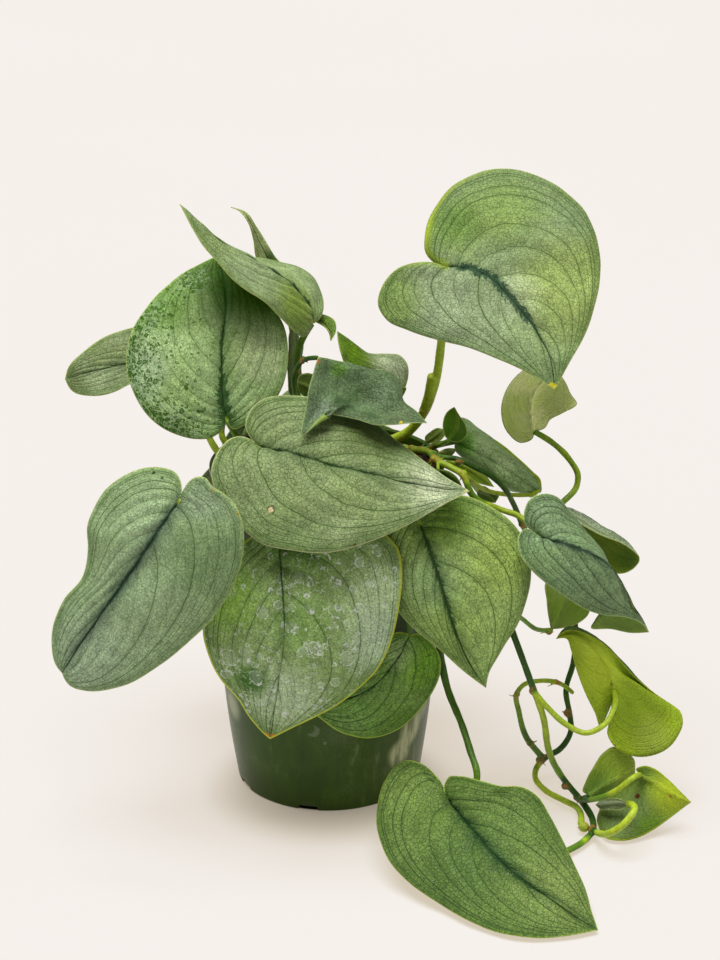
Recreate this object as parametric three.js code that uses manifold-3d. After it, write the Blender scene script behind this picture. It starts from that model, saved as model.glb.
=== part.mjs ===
import * as THREE from 'three';
import Module from 'manifold-3d';

// A potted silver hero satin pothos in a tapered green nursery pot.
// Millimetres, +Z up. The origin is the centre of the pot's base, on the floor.
// The photograph was taken from the -Y side, a little to the right of the pot's axis.

// Pot
const POT_BASE_R = 55.8;
const POT_NECK_R = 67.3;
const POT_CURVE = 3;
const POT_HEIGHT = 202;
const RIM_R = 69;
const RIM_DROP = 3.4;
const POT_WALL = 1.8;
const POT_FLOOR = 2.4;
const NOTCH_COUNT = 7;
const NOTCH_WIDTH = 12;
const NOTCH_HEIGHT = 3.2;
const NOTCH_DEPTH = 7;
const NOTCH_TURN = 258;

// Soil
const SOIL_TOP = 196;
const SOIL_BOTTOM = 4;
const FIT_GAP = 0.35;
const HOLE_DEPTH = 22;
const HOLE_CUT = 60;

// Leaves and stems
const BLADE = 0.9;
const SEAT_GAP = 0.3;
const SEAT_REACH = 6;
const MIDRIB_ADVANCE = 1.7;

// The photograph's camera, in pixels of a 720 by 960 frame and in mm
const PHOTO_CENTRE_X = 360;
const PHOTO_CENTRE_Y = 480;
const PHOTO_FOCAL = 2236;
const CAMERA_X = 19.4;
const CAMERA_Y = -1226;
const CAMERA_Z = 671;
const CAMERA_PITCH = THREE.MathUtils.degToRad(21.4);

const V = (x, y, z) => new THREE.Vector3(x, y, z);

// Direction of the ray through a point of the photograph
function ray(px, py) {
  const right = (px - PHOTO_CENTRE_X) / PHOTO_FOCAL;
  const down = (py - PHOTO_CENTRE_Y) / PHOTO_FOCAL;
  const c = Math.cos(CAMERA_PITCH);
  const s = Math.sin(CAMERA_PITCH);
  return V(right, c - down * s, -s - down * c);
}

// The place seen at photo pixel (px, py) that lies y mm behind the pot's axis
function at(px, py, y) {
  const d = ray(px, py);
  const k = (y - CAMERA_Y) / d.y;
  return V(CAMERA_X + k * d.x, y, CAMERA_Z + k * d.z);
}

// The place seen at photo pixel (px, py) that lies z mm above the floor
function low(px, py, z) {
  const d = ray(px, py);
  const k = (z - CAMERA_Z) / d.z;
  return V(CAMERA_X + k * d.x, CAMERA_Y + k * d.y, z);
}

// A smooth curve through points, asked for by its share of the chord length
function curveThrough(points) {
  const n = points.length;
  const h = [];
  const start = [0];
  for (let i = 0; i + 1 < n; i += 1) {
    h.push(Math.max(points[i].distanceTo(points[i + 1]), 1e-6));
    start.push(start[i] + h[i]);
  }
  const slope = (i) => points[i + 1].clone().sub(points[i]).divideScalar(h[i]);
  const tangents = [];
  for (let i = 1; i + 1 < n; i += 1) {
    const before = slope(i - 1).multiplyScalar(h[i]);
    const after = slope(i).multiplyScalar(h[i - 1]);
    tangents[i] = before.add(after).divideScalar(h[i - 1] + h[i]);
  }
  if (n === 2) {
    tangents[0] = slope(0);
    tangents[1] = slope(0);
  } else {
    tangents[0] = slope(0).multiplyScalar(1.5).addScaledVector(tangents[1], -0.5);
    tangents[n - 1] = slope(n - 2).multiplyScalar(1.5).addScaledVector(tangents[n - 2], -0.5);
  }
  const total = start[n - 1];
  return (share) => {
    const d = Math.min(Math.max(share, 0), 1) * total;
    let i = 0;
    while (i + 2 < n && d > start[i + 1]) i += 1;
    const u = (d - start[i]) / h[i];
    const u2 = u * u;
    const u3 = u2 * u;
    return points[i].clone().multiplyScalar(2 * u3 - 3 * u2 + 1)
      .addScaledVector(tangents[i], (u3 - 2 * u2 + u) * h[i])
      .addScaledVector(points[i + 1], -2 * u3 + 3 * u2)
      .addScaledVector(tangents[i + 1], (u3 - u2) * h[i]);
  };
}

// The middle surface of a blade: t runs from the petiole to the tip,
// s from one margin (-1) over the midrib (0) to the other margin (1)
function bladeSurface(spec) {
  const base = spec.midrib[0];
  const tip = spec.midrib[spec.midrib.length - 1];
  const midrib = curveThrough(spec.midrib);
  const one = curveThrough([base, ...spec.one, tip]);
  const two = curveThrough([base, ...spec.two, tip]);
  const advance = spec.advance || MIDRIB_ADVANCE;
  const camber = spec.camber === undefined ? 0.06 : spec.camber;
  const rowNormal = (t) => {
    const m = Math.min(Math.max(t, 0.04), 0.96);
    const along = midrib(m ** advance + 0.03).sub(midrib(m ** advance - 0.03));
    return two(m).sub(one(m)).cross(along).normalize();
  };
  const middle = rowNormal(0.5);
  const toViewer = V(CAMERA_X, CAMERA_Y, CAMERA_Z).sub(midrib(0.5)).normalize();
  const sign = (middle.dot(toViewer) > 0) === (spec.shows !== 'under') ? 1 : -1;
  const normal = (t) => rowNormal(t).multiplyScalar(sign);
  const place = (t, s) => {
    const spine = midrib(t ** advance);
    const edge = s < 0 ? one(t) : two(t);
    const r = Math.abs(s);
    const width = edge.distanceTo(spine);
    return spine.lerp(edge, r)
      .addScaledVector(normal(t), camber * width * 4 * r * (1 - r));
  };
  return { place, normal };
}

// A closed blade: the same triangles above and below the middle surface
function bladeGeometry(spec) {
  const { place } = bladeSurface(spec);
  const rows = spec.rows || 12;
  const half = spec.half || 3;
  const columns = 2 * half;
  const points = [place(0, 0)];
  const index = (i, j) => {
    if (i === 0) return 0;
    if (i === rows) return 1 + (rows - 1) * (columns + 1);
    return 1 + (i - 1) * (columns + 1) + j;
  };
  for (let i = 1; i < rows; i += 1) {
    for (let j = 0; j <= columns; j += 1) points.push(place(i / rows, j / half - 1));
  }
  points.push(place(1, 0));
  const faces = [];
  for (let i = 0; i < rows; i += 1) {
    for (let j = 0; j < columns; j += 1) {
      const a = index(i, j);
      const b = index(i, j + 1);
      const c = index(i + 1, j + 1);
      const d = index(i + 1, j);
      const outer = j < half;
      const pair = outer ? [[a, b, c], [a, c, d]] : [[a, b, d], [b, c, d]];
      pair.forEach((f) => {
        if (f[0] !== f[1] && f[1] !== f[2] && f[0] !== f[2]) faces.push(f);
      });
    }
  }
  const normals = points.map(() => V(0, 0, 0));
  faces.forEach(([a, b, c]) => {
    const n = points[b].clone().sub(points[a]).cross(points[c].clone().sub(points[a]));
    [a, b, c].forEach((k) => normals[k].add(n));
  });
  const count = points.length;
  const position = [];
  [1, -1].forEach((side) => {
    points.forEach((p, k) => {
      const q = p.clone().addScaledVector(normals[k].clone().normalize(), (side * BLADE) / 2);
      position.push(q.x, q.y, q.z);
    });
  });
  const triangles = [];
  faces.forEach(([a, b, c]) => {
    triangles.push(a, b, c);
    triangles.push(count + a, count + c, count + b);
  });
  const rim = [];
  for (let i = 0; i < rows; i += 1) rim.push(index(i, 0));
  for (let i = rows; i > 0; i -= 1) rim.push(index(i, columns));
  rim.forEach((a, k) => {
    const b = rim[(k + 1) % rim.length];
    triangles.push(a, b, count + a, b, count + b, count + a);
  });
  return closedGeometry(position, triangles);
}

// An indexed geometry whose faces look outward
function closedGeometry(position, triangles) {
  let volume = 0;
  const p = (k) => V(position[3 * k], position[3 * k + 1], position[3 * k + 2]);
  for (let i = 0; i < triangles.length; i += 3) {
    volume += p(triangles[i]).dot(p(triangles[i + 1]).cross(p(triangles[i + 2])));
  }
  if (volume < 0) {
    for (let i = 0; i < triangles.length; i += 3) {
      const keep = triangles[i + 1];
      triangles[i + 1] = triangles[i + 2];
      triangles[i + 2] = keep;
    }
  }
  const geometry = new THREE.BufferGeometry();
  geometry.setAttribute('position', new THREE.Float32BufferAttribute(position, 3));
  geometry.setIndex(triangles);
  return geometry;
}

const wasm = await Module();
wasm.setup();

function toSolid(geometry) {
  return new wasm.Manifold(new wasm.Mesh({
    numProp: 3,
    vertProperties: new Float32Array(geometry.attributes.position.array),
    triVerts: new Uint32Array(geometry.index.array),
  }));
}

function fromSolid(solid) {
  const mesh = solid.getMesh();
  return closedGeometry(Array.from(mesh.vertProperties), Array.from(mesh.triVerts));
}

// A round tube along a curve, its radius eased from one end to the other
function tube(points, r0, r1, sides = 6, step = 11) {
  const curve = curveThrough(points);
  let length = 0;
  for (let i = 1; i < points.length; i += 1) length += points[i].distanceTo(points[i - 1]);
  const rings = Math.max(3, Math.ceil(length / step));
  const position = [];
  const triangles = [];
  let side = null;
  for (let i = 0; i <= rings; i += 1) {
    const u = i / rings;
    const here = curve(u);
    const along = curve(Math.min(u + 0.01, 1)).sub(curve(Math.max(u - 0.01, 0))).normalize();
    if (!side) side = Math.abs(along.z) < 0.9 ? V(0, 0, 1) : V(1, 0, 0);
    side = side.clone().addScaledVector(along, -side.dot(along)).normalize();
    const across = along.clone().cross(side);
    const radius = r0 + (r1 - r0) * u;
    for (let k = 0; k < sides; k += 1) {
      const a = (2 * Math.PI * k) / sides;
      const q = here.clone().addScaledVector(side, radius * Math.cos(a))
        .addScaledVector(across, radius * Math.sin(a));
      position.push(q.x, q.y, q.z);
    }
  }
  [0, 1].forEach((end) => {
    const q = curve(end);
    position.push(q.x, q.y, q.z);
  });
  const first = sides * (rings + 1);
  for (let i = 0; i < rings; i += 1) {
    for (let k = 0; k < sides; k += 1) {
      const a = i * sides + k;
      const b = i * sides + ((k + 1) % sides);
      triangles.push(a, b, b + sides, a, b + sides, a + sides);
    }
  }
  for (let k = 0; k < sides; k += 1) {
    const next = (k + 1) % sides;
    triangles.push(first, next, k);
    triangles.push(first + 1, rings * sides + k, rings * sides + next);
  }
  return closedGeometry(position, triangles);
}

// A small low-faceted lump, for the nodes of a stem and the bark on the soil
function lump(centre, rx, ry, rz, turn = 0) {
  const ball = new THREE.IcosahedronGeometry(1, 0);
  const seen = new Map();
  const position = [];
  const triangles = [];
  const source = ball.attributes.position;
  for (let i = 0; i < source.count; i += 1) {
    const q = V(source.getX(i), source.getY(i), source.getZ(i));
    const key = [q.x, q.y, q.z].map((v) => Math.round(v * 1e4)).join(' ');
    if (!seen.has(key)) {
      seen.set(key, position.length / 3);
      const placed = V(q.x * rx, q.y * ry, q.z * rz).applyAxisAngle(V(0, 0, 1), turn).add(centre);
      position.push(placed.x, placed.y, placed.z);
    }
    triangles.push(seen.get(key));
  }
  return closedGeometry(position, triangles);
}

// A heart-shaped blade for the leaves at the back: base, tip, the way its top faces, width
function heart(base, tip, face, width, droop) {
  const along = tip.clone().sub(base);
  const up = face.clone().addScaledVector(along, -face.dot(along) / along.lengthSq()).normalize();
  const across = up.clone().cross(along).normalize();
  const point = (u, v) => base.clone().addScaledVector(along, u)
    .addScaledVector(across, v * width)
    .addScaledVector(up, -droop * (u * u - u) * 4 - 0.16 * width * Math.abs(v));
  const margin = [
    [-0.05, 0.08], [-0.13, 0.22], [-0.11, 0.37], [0.04, 0.48],
    [0.25, 0.5], [0.5, 0.41], [0.74, 0.23], [0.9, 0.08],
  ];
  return {
    midrib: [0, 0.25, 0.5, 0.75, 1].map((u) => point(u, 0)),
    one: margin.map(([u, v]) => point(u, -v)),
    two: margin.map(([u, v]) => point(u, v)),
  };
}

// The leaves. Each blade is a midrib and two margins, read from its base to its tip.
// Numbers are photo pixels, then mm behind the pot's axis or mm above the floor.
const LEAVES = {
  leaf_top_right: {
    rows: 14,
    midrib: [
      at(444, 267, 5), at(462, 269, 4), at(482, 273, 0), at(512, 300, -8), at(536, 330, -17),
      at(549, 356, -27), at(555, 390, -38),
    ],
    one: [
      at(433, 262, 11), at(426, 253, 15), at(425, 238, 20), at(431, 214, 32), at(452, 187, 44),
      at(478, 173, 50), at(506, 169, 52), at(535, 175, 50), at(563, 190, 44), at(585, 212, 34),
      at(597, 240, 23), at(600, 273, 10), at(595, 305, -4), at(584, 337, -16), at(570, 362, -28),
    ],
    two: [
      at(434, 264, 7), at(418, 262, 6), at(398, 268, 3), at(383, 284, 0), at(378, 305, -4),
      at(388, 321, -8), at(407, 330, -12), at(437, 340, -18), at(466, 347, -22),
      at(495, 358, -27), at(522, 370, -32), at(540, 380, -35),
    ],
  },
  leaf_top_left: {
    rows: 14,
    camber: 0.03,
    midrib: [
      at(313, 324, 4), at(311, 308, 4), at(300, 293, 2), at(282, 277, -2), at(254, 259, -8),
      at(231, 247, -13), at(211, 233, -17), at(194, 217, -19), at(180, 204, -20),
    ],
    one: [
      at(320, 318, 10), at(324, 306, 18), at(321, 291, 28), at(315, 278, 34), at(298, 267, 36),
      at(279, 262, 34), at(262, 258, 30), at(240, 256, 18), at(217, 242, 2), at(197, 224, -12),
    ],
    two: [
      at(309, 333, 0), at(304, 337, -4), at(295, 332, -10), at(280, 317, -20), at(266, 303, -26),
      at(249, 292, -30), at(233, 279, -32), at(216, 261, -32), at(202, 244, -30),
      at(189, 222, -25),
    ],
  },
  leaf_top_curl: {
    rows: 8,
    half: 2,
    midrib: [
      at(285, 285, 54), at(267, 257, 52), at(257, 238, 50), at(250, 223, 49), at(242, 211, 48),
      at(231, 207, 46),
    ],
    one: [at(268, 278, 50), at(256, 258, 48), at(253, 239, 48), at(247, 221, 47), at(239, 211, 46)],
    two: [at(289, 276, 58), at(274, 255, 56), at(265, 240, 55), at(256, 226, 53), at(247, 213, 50)],
  },
  leaf_speckled: {
    rows: 14,
    midrib: [
      at(227, 420, -32), at(223, 400, -28), at(222, 370, -20), at(222, 345, -14),
      at(226, 306, -2), at(224, 280, 8), at(216, 256, 18),
    ],
    one: [
      at(222, 430, -35), at(213, 437, -37), at(195, 439, -38), at(172, 433, -38),
      at(151, 419, -36), at(132, 389, -30), at(126, 357, -22), at(130, 336, -17),
      at(143, 312, -8), at(160, 292, 0), at(176, 278, 5), at(191, 268, 10), at(206, 261, 15),
    ],
    two: [
      at(233, 429, -34), at(246, 425, -33), at(263, 413, -30), at(278, 396, -26),
      at(287, 370, -20), at(288, 350, -14), at(281, 327, -6), at(266, 306, 2),
      at(245, 283, 10), at(228, 265, 16),
    ],
  },
  leaf_back_left: {
    rows: 10,
    midrib: [at(200, 352, 34), at(170, 356, 34), at(134, 363, 32), at(100, 370, 28), at(65, 379, 24)],
    one: [
      at(196, 335, 44), at(165, 322, 50), at(134, 327, 50), at(104, 337, 44), at(82, 353, 34),
      at(68, 368, 27),
    ],
    two: [
      at(190, 368, 26), at(160, 377, 22), at(128, 385, 18), at(116, 391, 17), at(93, 396, 18),
      at(71, 390, 22),
    ],
  },
  leaf_centre: {
    rows: 14,
    midrib: [
      at(256, 445, -58), at(270, 449, -62), at(289, 453, -66), at(325, 463, -71),
      at(374, 475, -74), at(422, 485, -73), at(450, 489, -71), at(470, 491, -69),
    ],
    one: [
      at(250, 437, -55), at(245, 426, -51), at(249, 412, -46), at(260, 401, -40),
      at(275, 396, -37), at(305, 397, -34), at(340, 408, -35), at(379, 427, -41),
      at(413, 453, -51), at(447, 478, -63),
    ],
    two: [
      at(249, 439, -58), at(241, 436, -59), at(231, 438, -61), at(221, 447, -65),
      at(214, 459, -70), at(211, 473, -77), at(219, 497, -86), at(236, 521, -93),
      at(260, 543, -99), at(289, 550, -102), at(325, 553, -103), at(369, 542, -99),
      at(410, 524, -91), at(447, 503, -79),
    ],
  },
  leaf_crumpled: {
    rows: 10,
    advance: 1,
    midrib: [at(318, 357, -28), at(338, 372, -30), at(366, 392, -36), at(398, 411, -43), at(427, 423, -46)],
    one: [
      at(312, 376, -38), at(307, 400, -50), at(303, 436, -66), at(316, 423, -60),
      at(335, 415, -52), at(356, 419, -54), at(377, 426, -58), at(401, 424, -54),
    ],
    two: [
      at(331, 359, -24), at(344, 362, -22), at(363, 367, -18), at(388, 371, -14),
      at(399, 377, -16), at(405, 400, -30), at(418, 413, -40),
    ],
  },
  leaf_pale_fold: {
    rows: 9,
    half: 2,
    midrib: [at(405, 388, 4), at(385, 368, 2), at(365, 352, 0), at(350, 341, -3), at(337, 331, -6)],
    one: [
      at(408, 376, 8), at(407, 363, 12), at(399, 355, 14), at(388, 354, 14), at(369, 353, 10),
      at(355, 345, 4), at(345, 337, -1),
    ],
    two: [at(392, 386, 0), at(368, 378, -6), at(347, 368, -12), at(341, 354, -11), at(338, 341, -8)],
  },
  leaf_small_curl: {
    rows: 7,
    half: 2,
    midrib: [at(308, 316, 20), at(322, 322, 16), at(330, 332, 12), at(331, 341, 8)],
    one: [at(319, 314, 21), at(334, 320, 18), at(336, 331, 12)],
    two: [at(314, 321, 17), at(324, 327, 13), at(330, 334, 10)],
  },
  leaf_edge_on: {
    rows: 8,
    half: 2,
    midrib: [at(296, 402, 22), at(297, 372, 24), at(296, 345, 26), at(294, 318, 26)],
    one: [at(289, 392, 12), at(288, 365, 8), at(289, 340, 12)],
    two: [at(300, 390, 32), at(301, 360, 38), at(299, 335, 34)],
  },
  leaf_olive_back: {
    rows: 7,
    half: 2,
    shows: 'under',
    midrib: [at(322, 392, -1), at(310, 387, -4), at(297, 382, -5)],
    one: [at(316, 376, 1), at(307, 373, -2), at(299, 376, -4)],
    two: [at(318, 402, -3), at(307, 398, -5), at(299, 391, -6)],
  },
  leaf_left: {
    rows: 14,
    midrib: [
      at(180, 500, -96), at(172, 512, -97), at(156, 535, -99), at(138, 562, -100),
      at(108, 605, -99), at(78, 648, -96), at(62, 673, -94),
    ],
    one: [
      at(182, 490, -92), at(177, 474, -86), at(158, 467, -80), at(129, 473, -77),
      at(101, 496, -79), at(88, 524, -83), at(88, 547, -86), at(82, 578, -89),
      at(64, 600, -90), at(54, 622, -91), at(52, 648, -92), at(56, 665, -93),
    ],
    two: [
      at(184, 491, -94), at(188, 483, -93), at(196, 477, -93), at(206, 478, -95),
      at(212, 486, -98), at(223, 493, -101), at(234, 503, -104), at(242, 520, -107),
      at(244, 545, -110), at(236, 579, -111),
      at(213, 618, -110), at(190, 641, -107), at(161, 664, -104), at(122, 686, -100),
      at(87, 691, -97), at(69, 685, -95),
    ],
  },
  leaf_front: {
    rows: 14,
    midrib: [
      at(279, 542, -85), at(281, 567, -90), at(284, 606, -97), at(284, 642, -99),
      at(279, 680, -96), at(270, 739, -88),
    ],
    one: [
      at(268, 532, -82), at(240, 545, -80), at(215, 575, -82), at(204, 612, -86),
      at(204, 640, -89), at(211, 662, -90), at(222, 681, -90), at(239, 701, -89),
      at(252, 721, -88), at(262, 732, -88),
    ],
    two: [
      at(292, 530, -82), at(330, 526, -80), at(372, 527, -79), at(398, 548, -80),
      at(402, 574, -84), at(399, 606, -87), at(391, 642, -90), at(374, 674, -92),
      at(350, 696, -92), at(318, 715, -91), at(284, 732, -89),
    ],
  },
  leaf_front_low: {
    rows: 13,
    midrib: [at(410, 634, -68), at(396, 660, -72), at(370, 688, -75), at(335, 702, -76), at(296, 700, -75)],
    one: [
      at(400, 632, -70), at(376, 640, -73), at(350, 658, -75), at(322, 680, -75),
      at(306, 692, -75),
    ],
    two: [
      at(420, 634, -66), at(431, 642, -64), at(439, 654, -63), at(441, 671, -63),
      at(432, 692, -65), at(417, 713, -68), at(393, 732, -71), at(369, 738, -73),
      at(345, 734, -75), at(318, 717, -76),
    ],
  },
  leaf_front_right: {
    rows: 14,
    midrib: [
      at(419, 522, -72), at(425, 537, -75), at(433, 560, -79), at(444, 594, -82),
      at(454, 628, -84), at(470, 664, -85), at(486, 688, -86),
    ],
    one: [
      at(411, 515, -73), at(396, 520, -73), at(384, 540, -74), at(381, 570, -76),
      at(388, 598, -78), at(399, 613, -80), at(415, 630, -82), at(437, 647, -84),
      at(461, 669, -85), at(475, 680, -86),
    ],
    two: [
      at(428, 513, -70), at(442, 498, -65), at(459, 495, -60), at(478, 500, -56),
      at(495, 509, -53), at(517, 528, -51), at(529, 552, -52), at(531, 574, -56),
      at(522, 613, -66), at(502, 650, -76), at(489, 672, -82),
    ],
  },
  leaf_floor_front: {
    rows: 14,
    midrib: [
      low(446, 797, 38), low(456, 810, 36), low(471, 828, 33), low(503, 864, 24),
      low(544, 895, 14), low(578, 919, 6), low(598, 930, 3),
    ],
    one: [
      low(443, 787, 42), low(437, 777, 46), low(428, 768, 48), low(417, 762, 49),
      low(406, 761, 47), low(395, 767, 44), low(386, 779, 40), low(379, 797, 34),
      low(376, 817, 28), low(380, 840, 22), low(390, 862, 16), low(407, 881, 11),
      low(438, 903, 6), low(471, 922, 4), low(503, 934, 3), low(534, 938, 3), low(566, 936, 3),
    ],
    two: [
      low(444, 786, 43), low(449, 777, 47), low(460, 776, 49), low(481, 781, 51),
      low(503, 786, 52), low(522, 787, 51), low(537, 796, 47), low(550, 815, 39),
      low(564, 844, 29), low(583, 883, 16), low(592, 912, 7),
    ],
  },
  leaf_back_right: {
    rows: 11,
    shows: 'under',
    midrib: [at(534, 431, 34), at(530, 412, 32), at(533, 392, 33), at(546, 378, 36), at(560, 374, 38)],
    one: [
      at(533, 438, 33), at(521, 443, 34), at(507, 432, 36), at(501, 411, 38), at(506, 390, 40),
      at(522, 371, 42), at(542, 363, 41),
    ],
    two: [
      at(545, 428, 36), at(550, 420, 38), at(563, 413, 43), at(577, 404, 49), at(571, 394, 46),
      at(566, 383, 41),
    ],
  },
  leaf_rolled: {
    rows: 12,
    half: 4,
    camber: 0.26,
    midrib: [
      at(458, 441, 12), at(470, 448, 6), at(490, 459, 4), at(512, 473, 4), at(530, 486, 6),
      at(541, 492, 10),
    ],
    one: [
      at(457, 431, 18), at(459, 418, 24), at(467, 419, 28), at(478, 427, 30), at(494, 440, 30),
      at(514, 456, 26), at(533, 474, 18), at(541, 485, 13),
    ],
    two: [
      at(458, 448, 18), at(464, 457, 24), at(476, 466, 28), at(492, 479, 28), at(508, 490, 24),
      at(526, 493, 16),
    ],
  },
  leaf_lime_mouth: {
    rows: 8,
    half: 2,
    shows: 'under',
    midrib: [at(448, 440, 0), at(454, 431, 2), at(457, 419, 5), at(454, 407, 8)],
    one: [at(444, 434, 0), at(443, 423, 2), at(447, 412, 6)],
    two: [at(458, 442, 2), at(467, 435, 4), at(466, 426, 6), at(461, 418, 8)],
  },
  leaf_pale_small: {
    rows: 7,
    half: 2,
    shows: 'under',
    midrib: [at(426, 443, 24), at(434, 437, 26), at(443, 429, 28)],
    one: [at(425, 437, 26), at(430, 432, 27), at(437, 428, 28)],
    two: [at(433, 443, 23), at(441, 440, 24), at(445, 434, 26)],
  },
  leaf_olive_low: {
    rows: 7,
    half: 2,
    shows: 'under',
    midrib: [at(437, 453, 4), at(447, 451, 5), at(457, 449, 6)],
    one: [at(442, 450, 5), at(450, 448, 6)],
    two: [at(442, 457, 4), at(451, 456, 5)],
  },
  leaf_young: {
    rows: 9,
    half: 2,
    shows: 'under',
    midrib: [at(443, 463, -7), at(457, 464, -5), at(474, 472, -4), at(494, 487, -4)],
    one: [at(448, 459, -5), at(462, 461, -2), at(482, 471, -2)],
    two: [at(450, 467, -8), at(464, 476, -8), at(481, 484, -6)],
  },
  leaf_olive_front: {
    rows: 7,
    half: 2,
    midrib: [at(438, 470, -29), at(449, 478, -29), at(462, 486, -29)],
    one: [at(446, 470, -29), at(457, 477, -29)],
    two: [at(439, 477, -29), at(448, 486, -29)],
  },
  leaf_olive_under: {
    rows: 8,
    half: 2,
    shows: 'under',
    midrib: [at(476, 491, -11), at(483, 493, -6), at(491, 498, -1), at(495, 503, 0)],
    one: [at(481, 487, -8), at(491, 490, 1), at(499, 495, 3)],
    two: [at(478, 496, -11), at(485, 501, -6)],
  },
  leaf_right: {
    rows: 14,
    camber: 0.04,
    midrib: [
      at(538, 536, -56), at(551, 541, -62), at(571, 546, -66), at(592, 554, -66),
      at(611, 566, -63), at(626, 588, -58), at(639, 612, -54), at(649, 632, -51),
    ],
    one: [
      at(533, 532, -55), at(526, 526, -53), at(524, 513, -50), at(529, 500, -47),
      at(543, 494, -43), at(557, 497, -40), at(571, 512, -37), at(587, 531, -36),
      at(600, 549, -37), at(609, 566, -40), at(609, 590, -43), at(602, 612, -46),
      at(591, 628, -50), at(610, 629, -50), at(632, 633, -50),
    ],
    two: [
      at(532, 531, -58), at(524, 529, -61), at(518, 537, -65), at(518, 548, -69),
      at(524, 561, -73), at(534, 573, -75), at(547, 584, -76), at(564, 596, -75),
      at(583, 608, -72), at(602, 615, -68), at(628, 618, -61), at(642, 624, -55),
    ],
  },
  leaf_right_back: {
    rows: 10,
    half: 2,
    shows: 'under',
    camber: 0.03,
    midrib: [at(556, 506, -6), at(583, 513, -6), at(608, 528, -8), at(627, 542, -10), at(639, 556, -10)],
    one: [at(566, 516, -12), at(580, 524, -16), at(602, 536, -17), at(621, 543, -15), at(632, 550, -12)],
    two: [
      at(566, 522, 0), at(580, 545, 4), at(600, 568, 4), at(620, 573, 2), at(633, 569, -2),
      at(639, 562, -6),
    ],
  },
  leaf_right_low: {
    rows: 9,
    half: 2,
    shows: 'under',
    midrib: [at(551, 629, -16), at(560, 613, -13), at(566, 596, -9), at(570, 576, -4)],
    one: [at(549, 618, -17), at(547, 600, -16), at(545, 585, -12), at(554, 572, -6)],
    two: [at(563, 628, -13), at(577, 624, -9), at(589, 613, -4), at(590, 598, 0), at(582, 580, 0)],
  },
  leaf_lime_hanging: {
    rows: 14,
    seat: 0.5,
    shows: 'under',
    midrib: [
      at(613, 690, -46), at(611, 678, -48), at(602, 660, -49), at(588, 645, -48),
      at(572, 636, -46), at(556, 639, -44),
    ],
    one: [
      at(614, 704, -46), at(610, 720, -50), at(607, 733, -57), at(613, 745, -61), at(626, 754, -62),
      at(644, 757, -60), at(662, 752, -57), at(676, 739, -48), at(683, 722, -43), at(681, 712, -40),
      at(669, 703, -38), at(650, 691, -37), at(635, 679, -37), at(621, 662, -38), at(606, 646, -40),
      at(586, 633, -42), at(568, 628, -43),
    ],
    two: [
      at(610, 702, -44), at(606, 717, -46), at(601, 726, -49), at(595, 713, -52), at(585, 692, -53),
      at(577, 671, -52), at(571, 650, -49), at(567, 639, -47),
    ],
  },
  leaf_floor_right: {
    rows: 12,
    shows: 'under',
    midrib: [
      low(640, 774, 34), low(652, 781, 31), low(664, 789, 28), low(678, 797, 24), low(691, 802, 20),
    ],
    one: [
      low(636, 770, 36), low(644, 766, 40), low(655, 769, 38), low(668, 779, 33), low(682, 793, 26),
    ],
    two: [
      low(631, 780, 28), low(616, 791, 18), low(603, 802, 9.5), low(598, 814, 5), low(598, 826, 3.5),
      low(608, 839, 3), low(622, 841, 2.5), low(637, 838, 3), low(655, 829, 6), low(675, 814, 13),
    ],
  },
  leaf_floor_back: {
    rows: 9,
    shows: 'under',
    half: 2,
    midrib: [low(589, 795, 15), low(602, 787, 20), low(619, 776, 26), low(635, 766, 30)],
    one: [
      low(583, 792, 17), low(586, 781, 24), low(593, 767, 33), low(603, 754, 41), low(613, 747, 44),
      low(624, 750, 42), low(634, 759, 36),
    ],
    two: [low(598, 799, 11), low(612, 796, 12), low(625, 788, 17), low(634, 777, 23)],
  },
  leaf_floor_small: {
    rows: 7,
    half: 2,
    shows: 'under',
    midrib: [low(630, 804, 23), low(617, 803, 20), low(606, 804, 16), low(596, 805, 12)],
    one: [low(622, 809, 19), low(607, 810, 14), low(600, 809, 11)],
    two: [low(622, 800, 23), low(608, 798, 19), low(600, 800, 14.5)],
  },
  leaf_hidden_back: {
    rows: 12,
    ...heart(V(-30, 84, 188), V(-36, 98, 84), V(-0.1, 1, 0.25), 76, 8),
  },
  leaf_hidden_back_left: {
    rows: 12,
    ...heart(V(-52, 64, 178), V(-82, 90, 92), V(-0.6, 1, 0.4), 60, 6),
  },
  leaf_hidden_back_right: {
    rows: 12,
    ...heart(V(20, 84, 186), V(58, 102, 94), V(0.4, 1, 0.3), 70, 8),
  },
  leaf_hidden_high: {
    rows: 12,
    ...heart(V(-52, 46, 234), V(-68, 72, 296), V(-0.2, 1, -0.3), 58, 5),
  },
  leaf_hidden_middle: {
    rows: 10,
    ...heart(V(0, 58, 214), V(-6, 116, 212), V(0, 0.1, 1), 60, 6),
  },
};

// The point that lies a given reach below the foot of a blade
function under(name, reach) {
  const spec = LEAVES[name];
  return spec.midrib[0].clone().addScaledVector(bladeSurface(spec).normal(spec.seat || 0.12), -reach);
}

// The leafy stems. Each is one body: a foot set in the soil and the petioles that grow from it.
// A path is [points, radius at its start, radius at its end, the leaf it carries if any].
const foot = (x, y, top, r = 3) => [[V(x, y, SOIL_TOP - HOLE_DEPTH), V(x, y, top)], r, r * 0.9];

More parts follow.
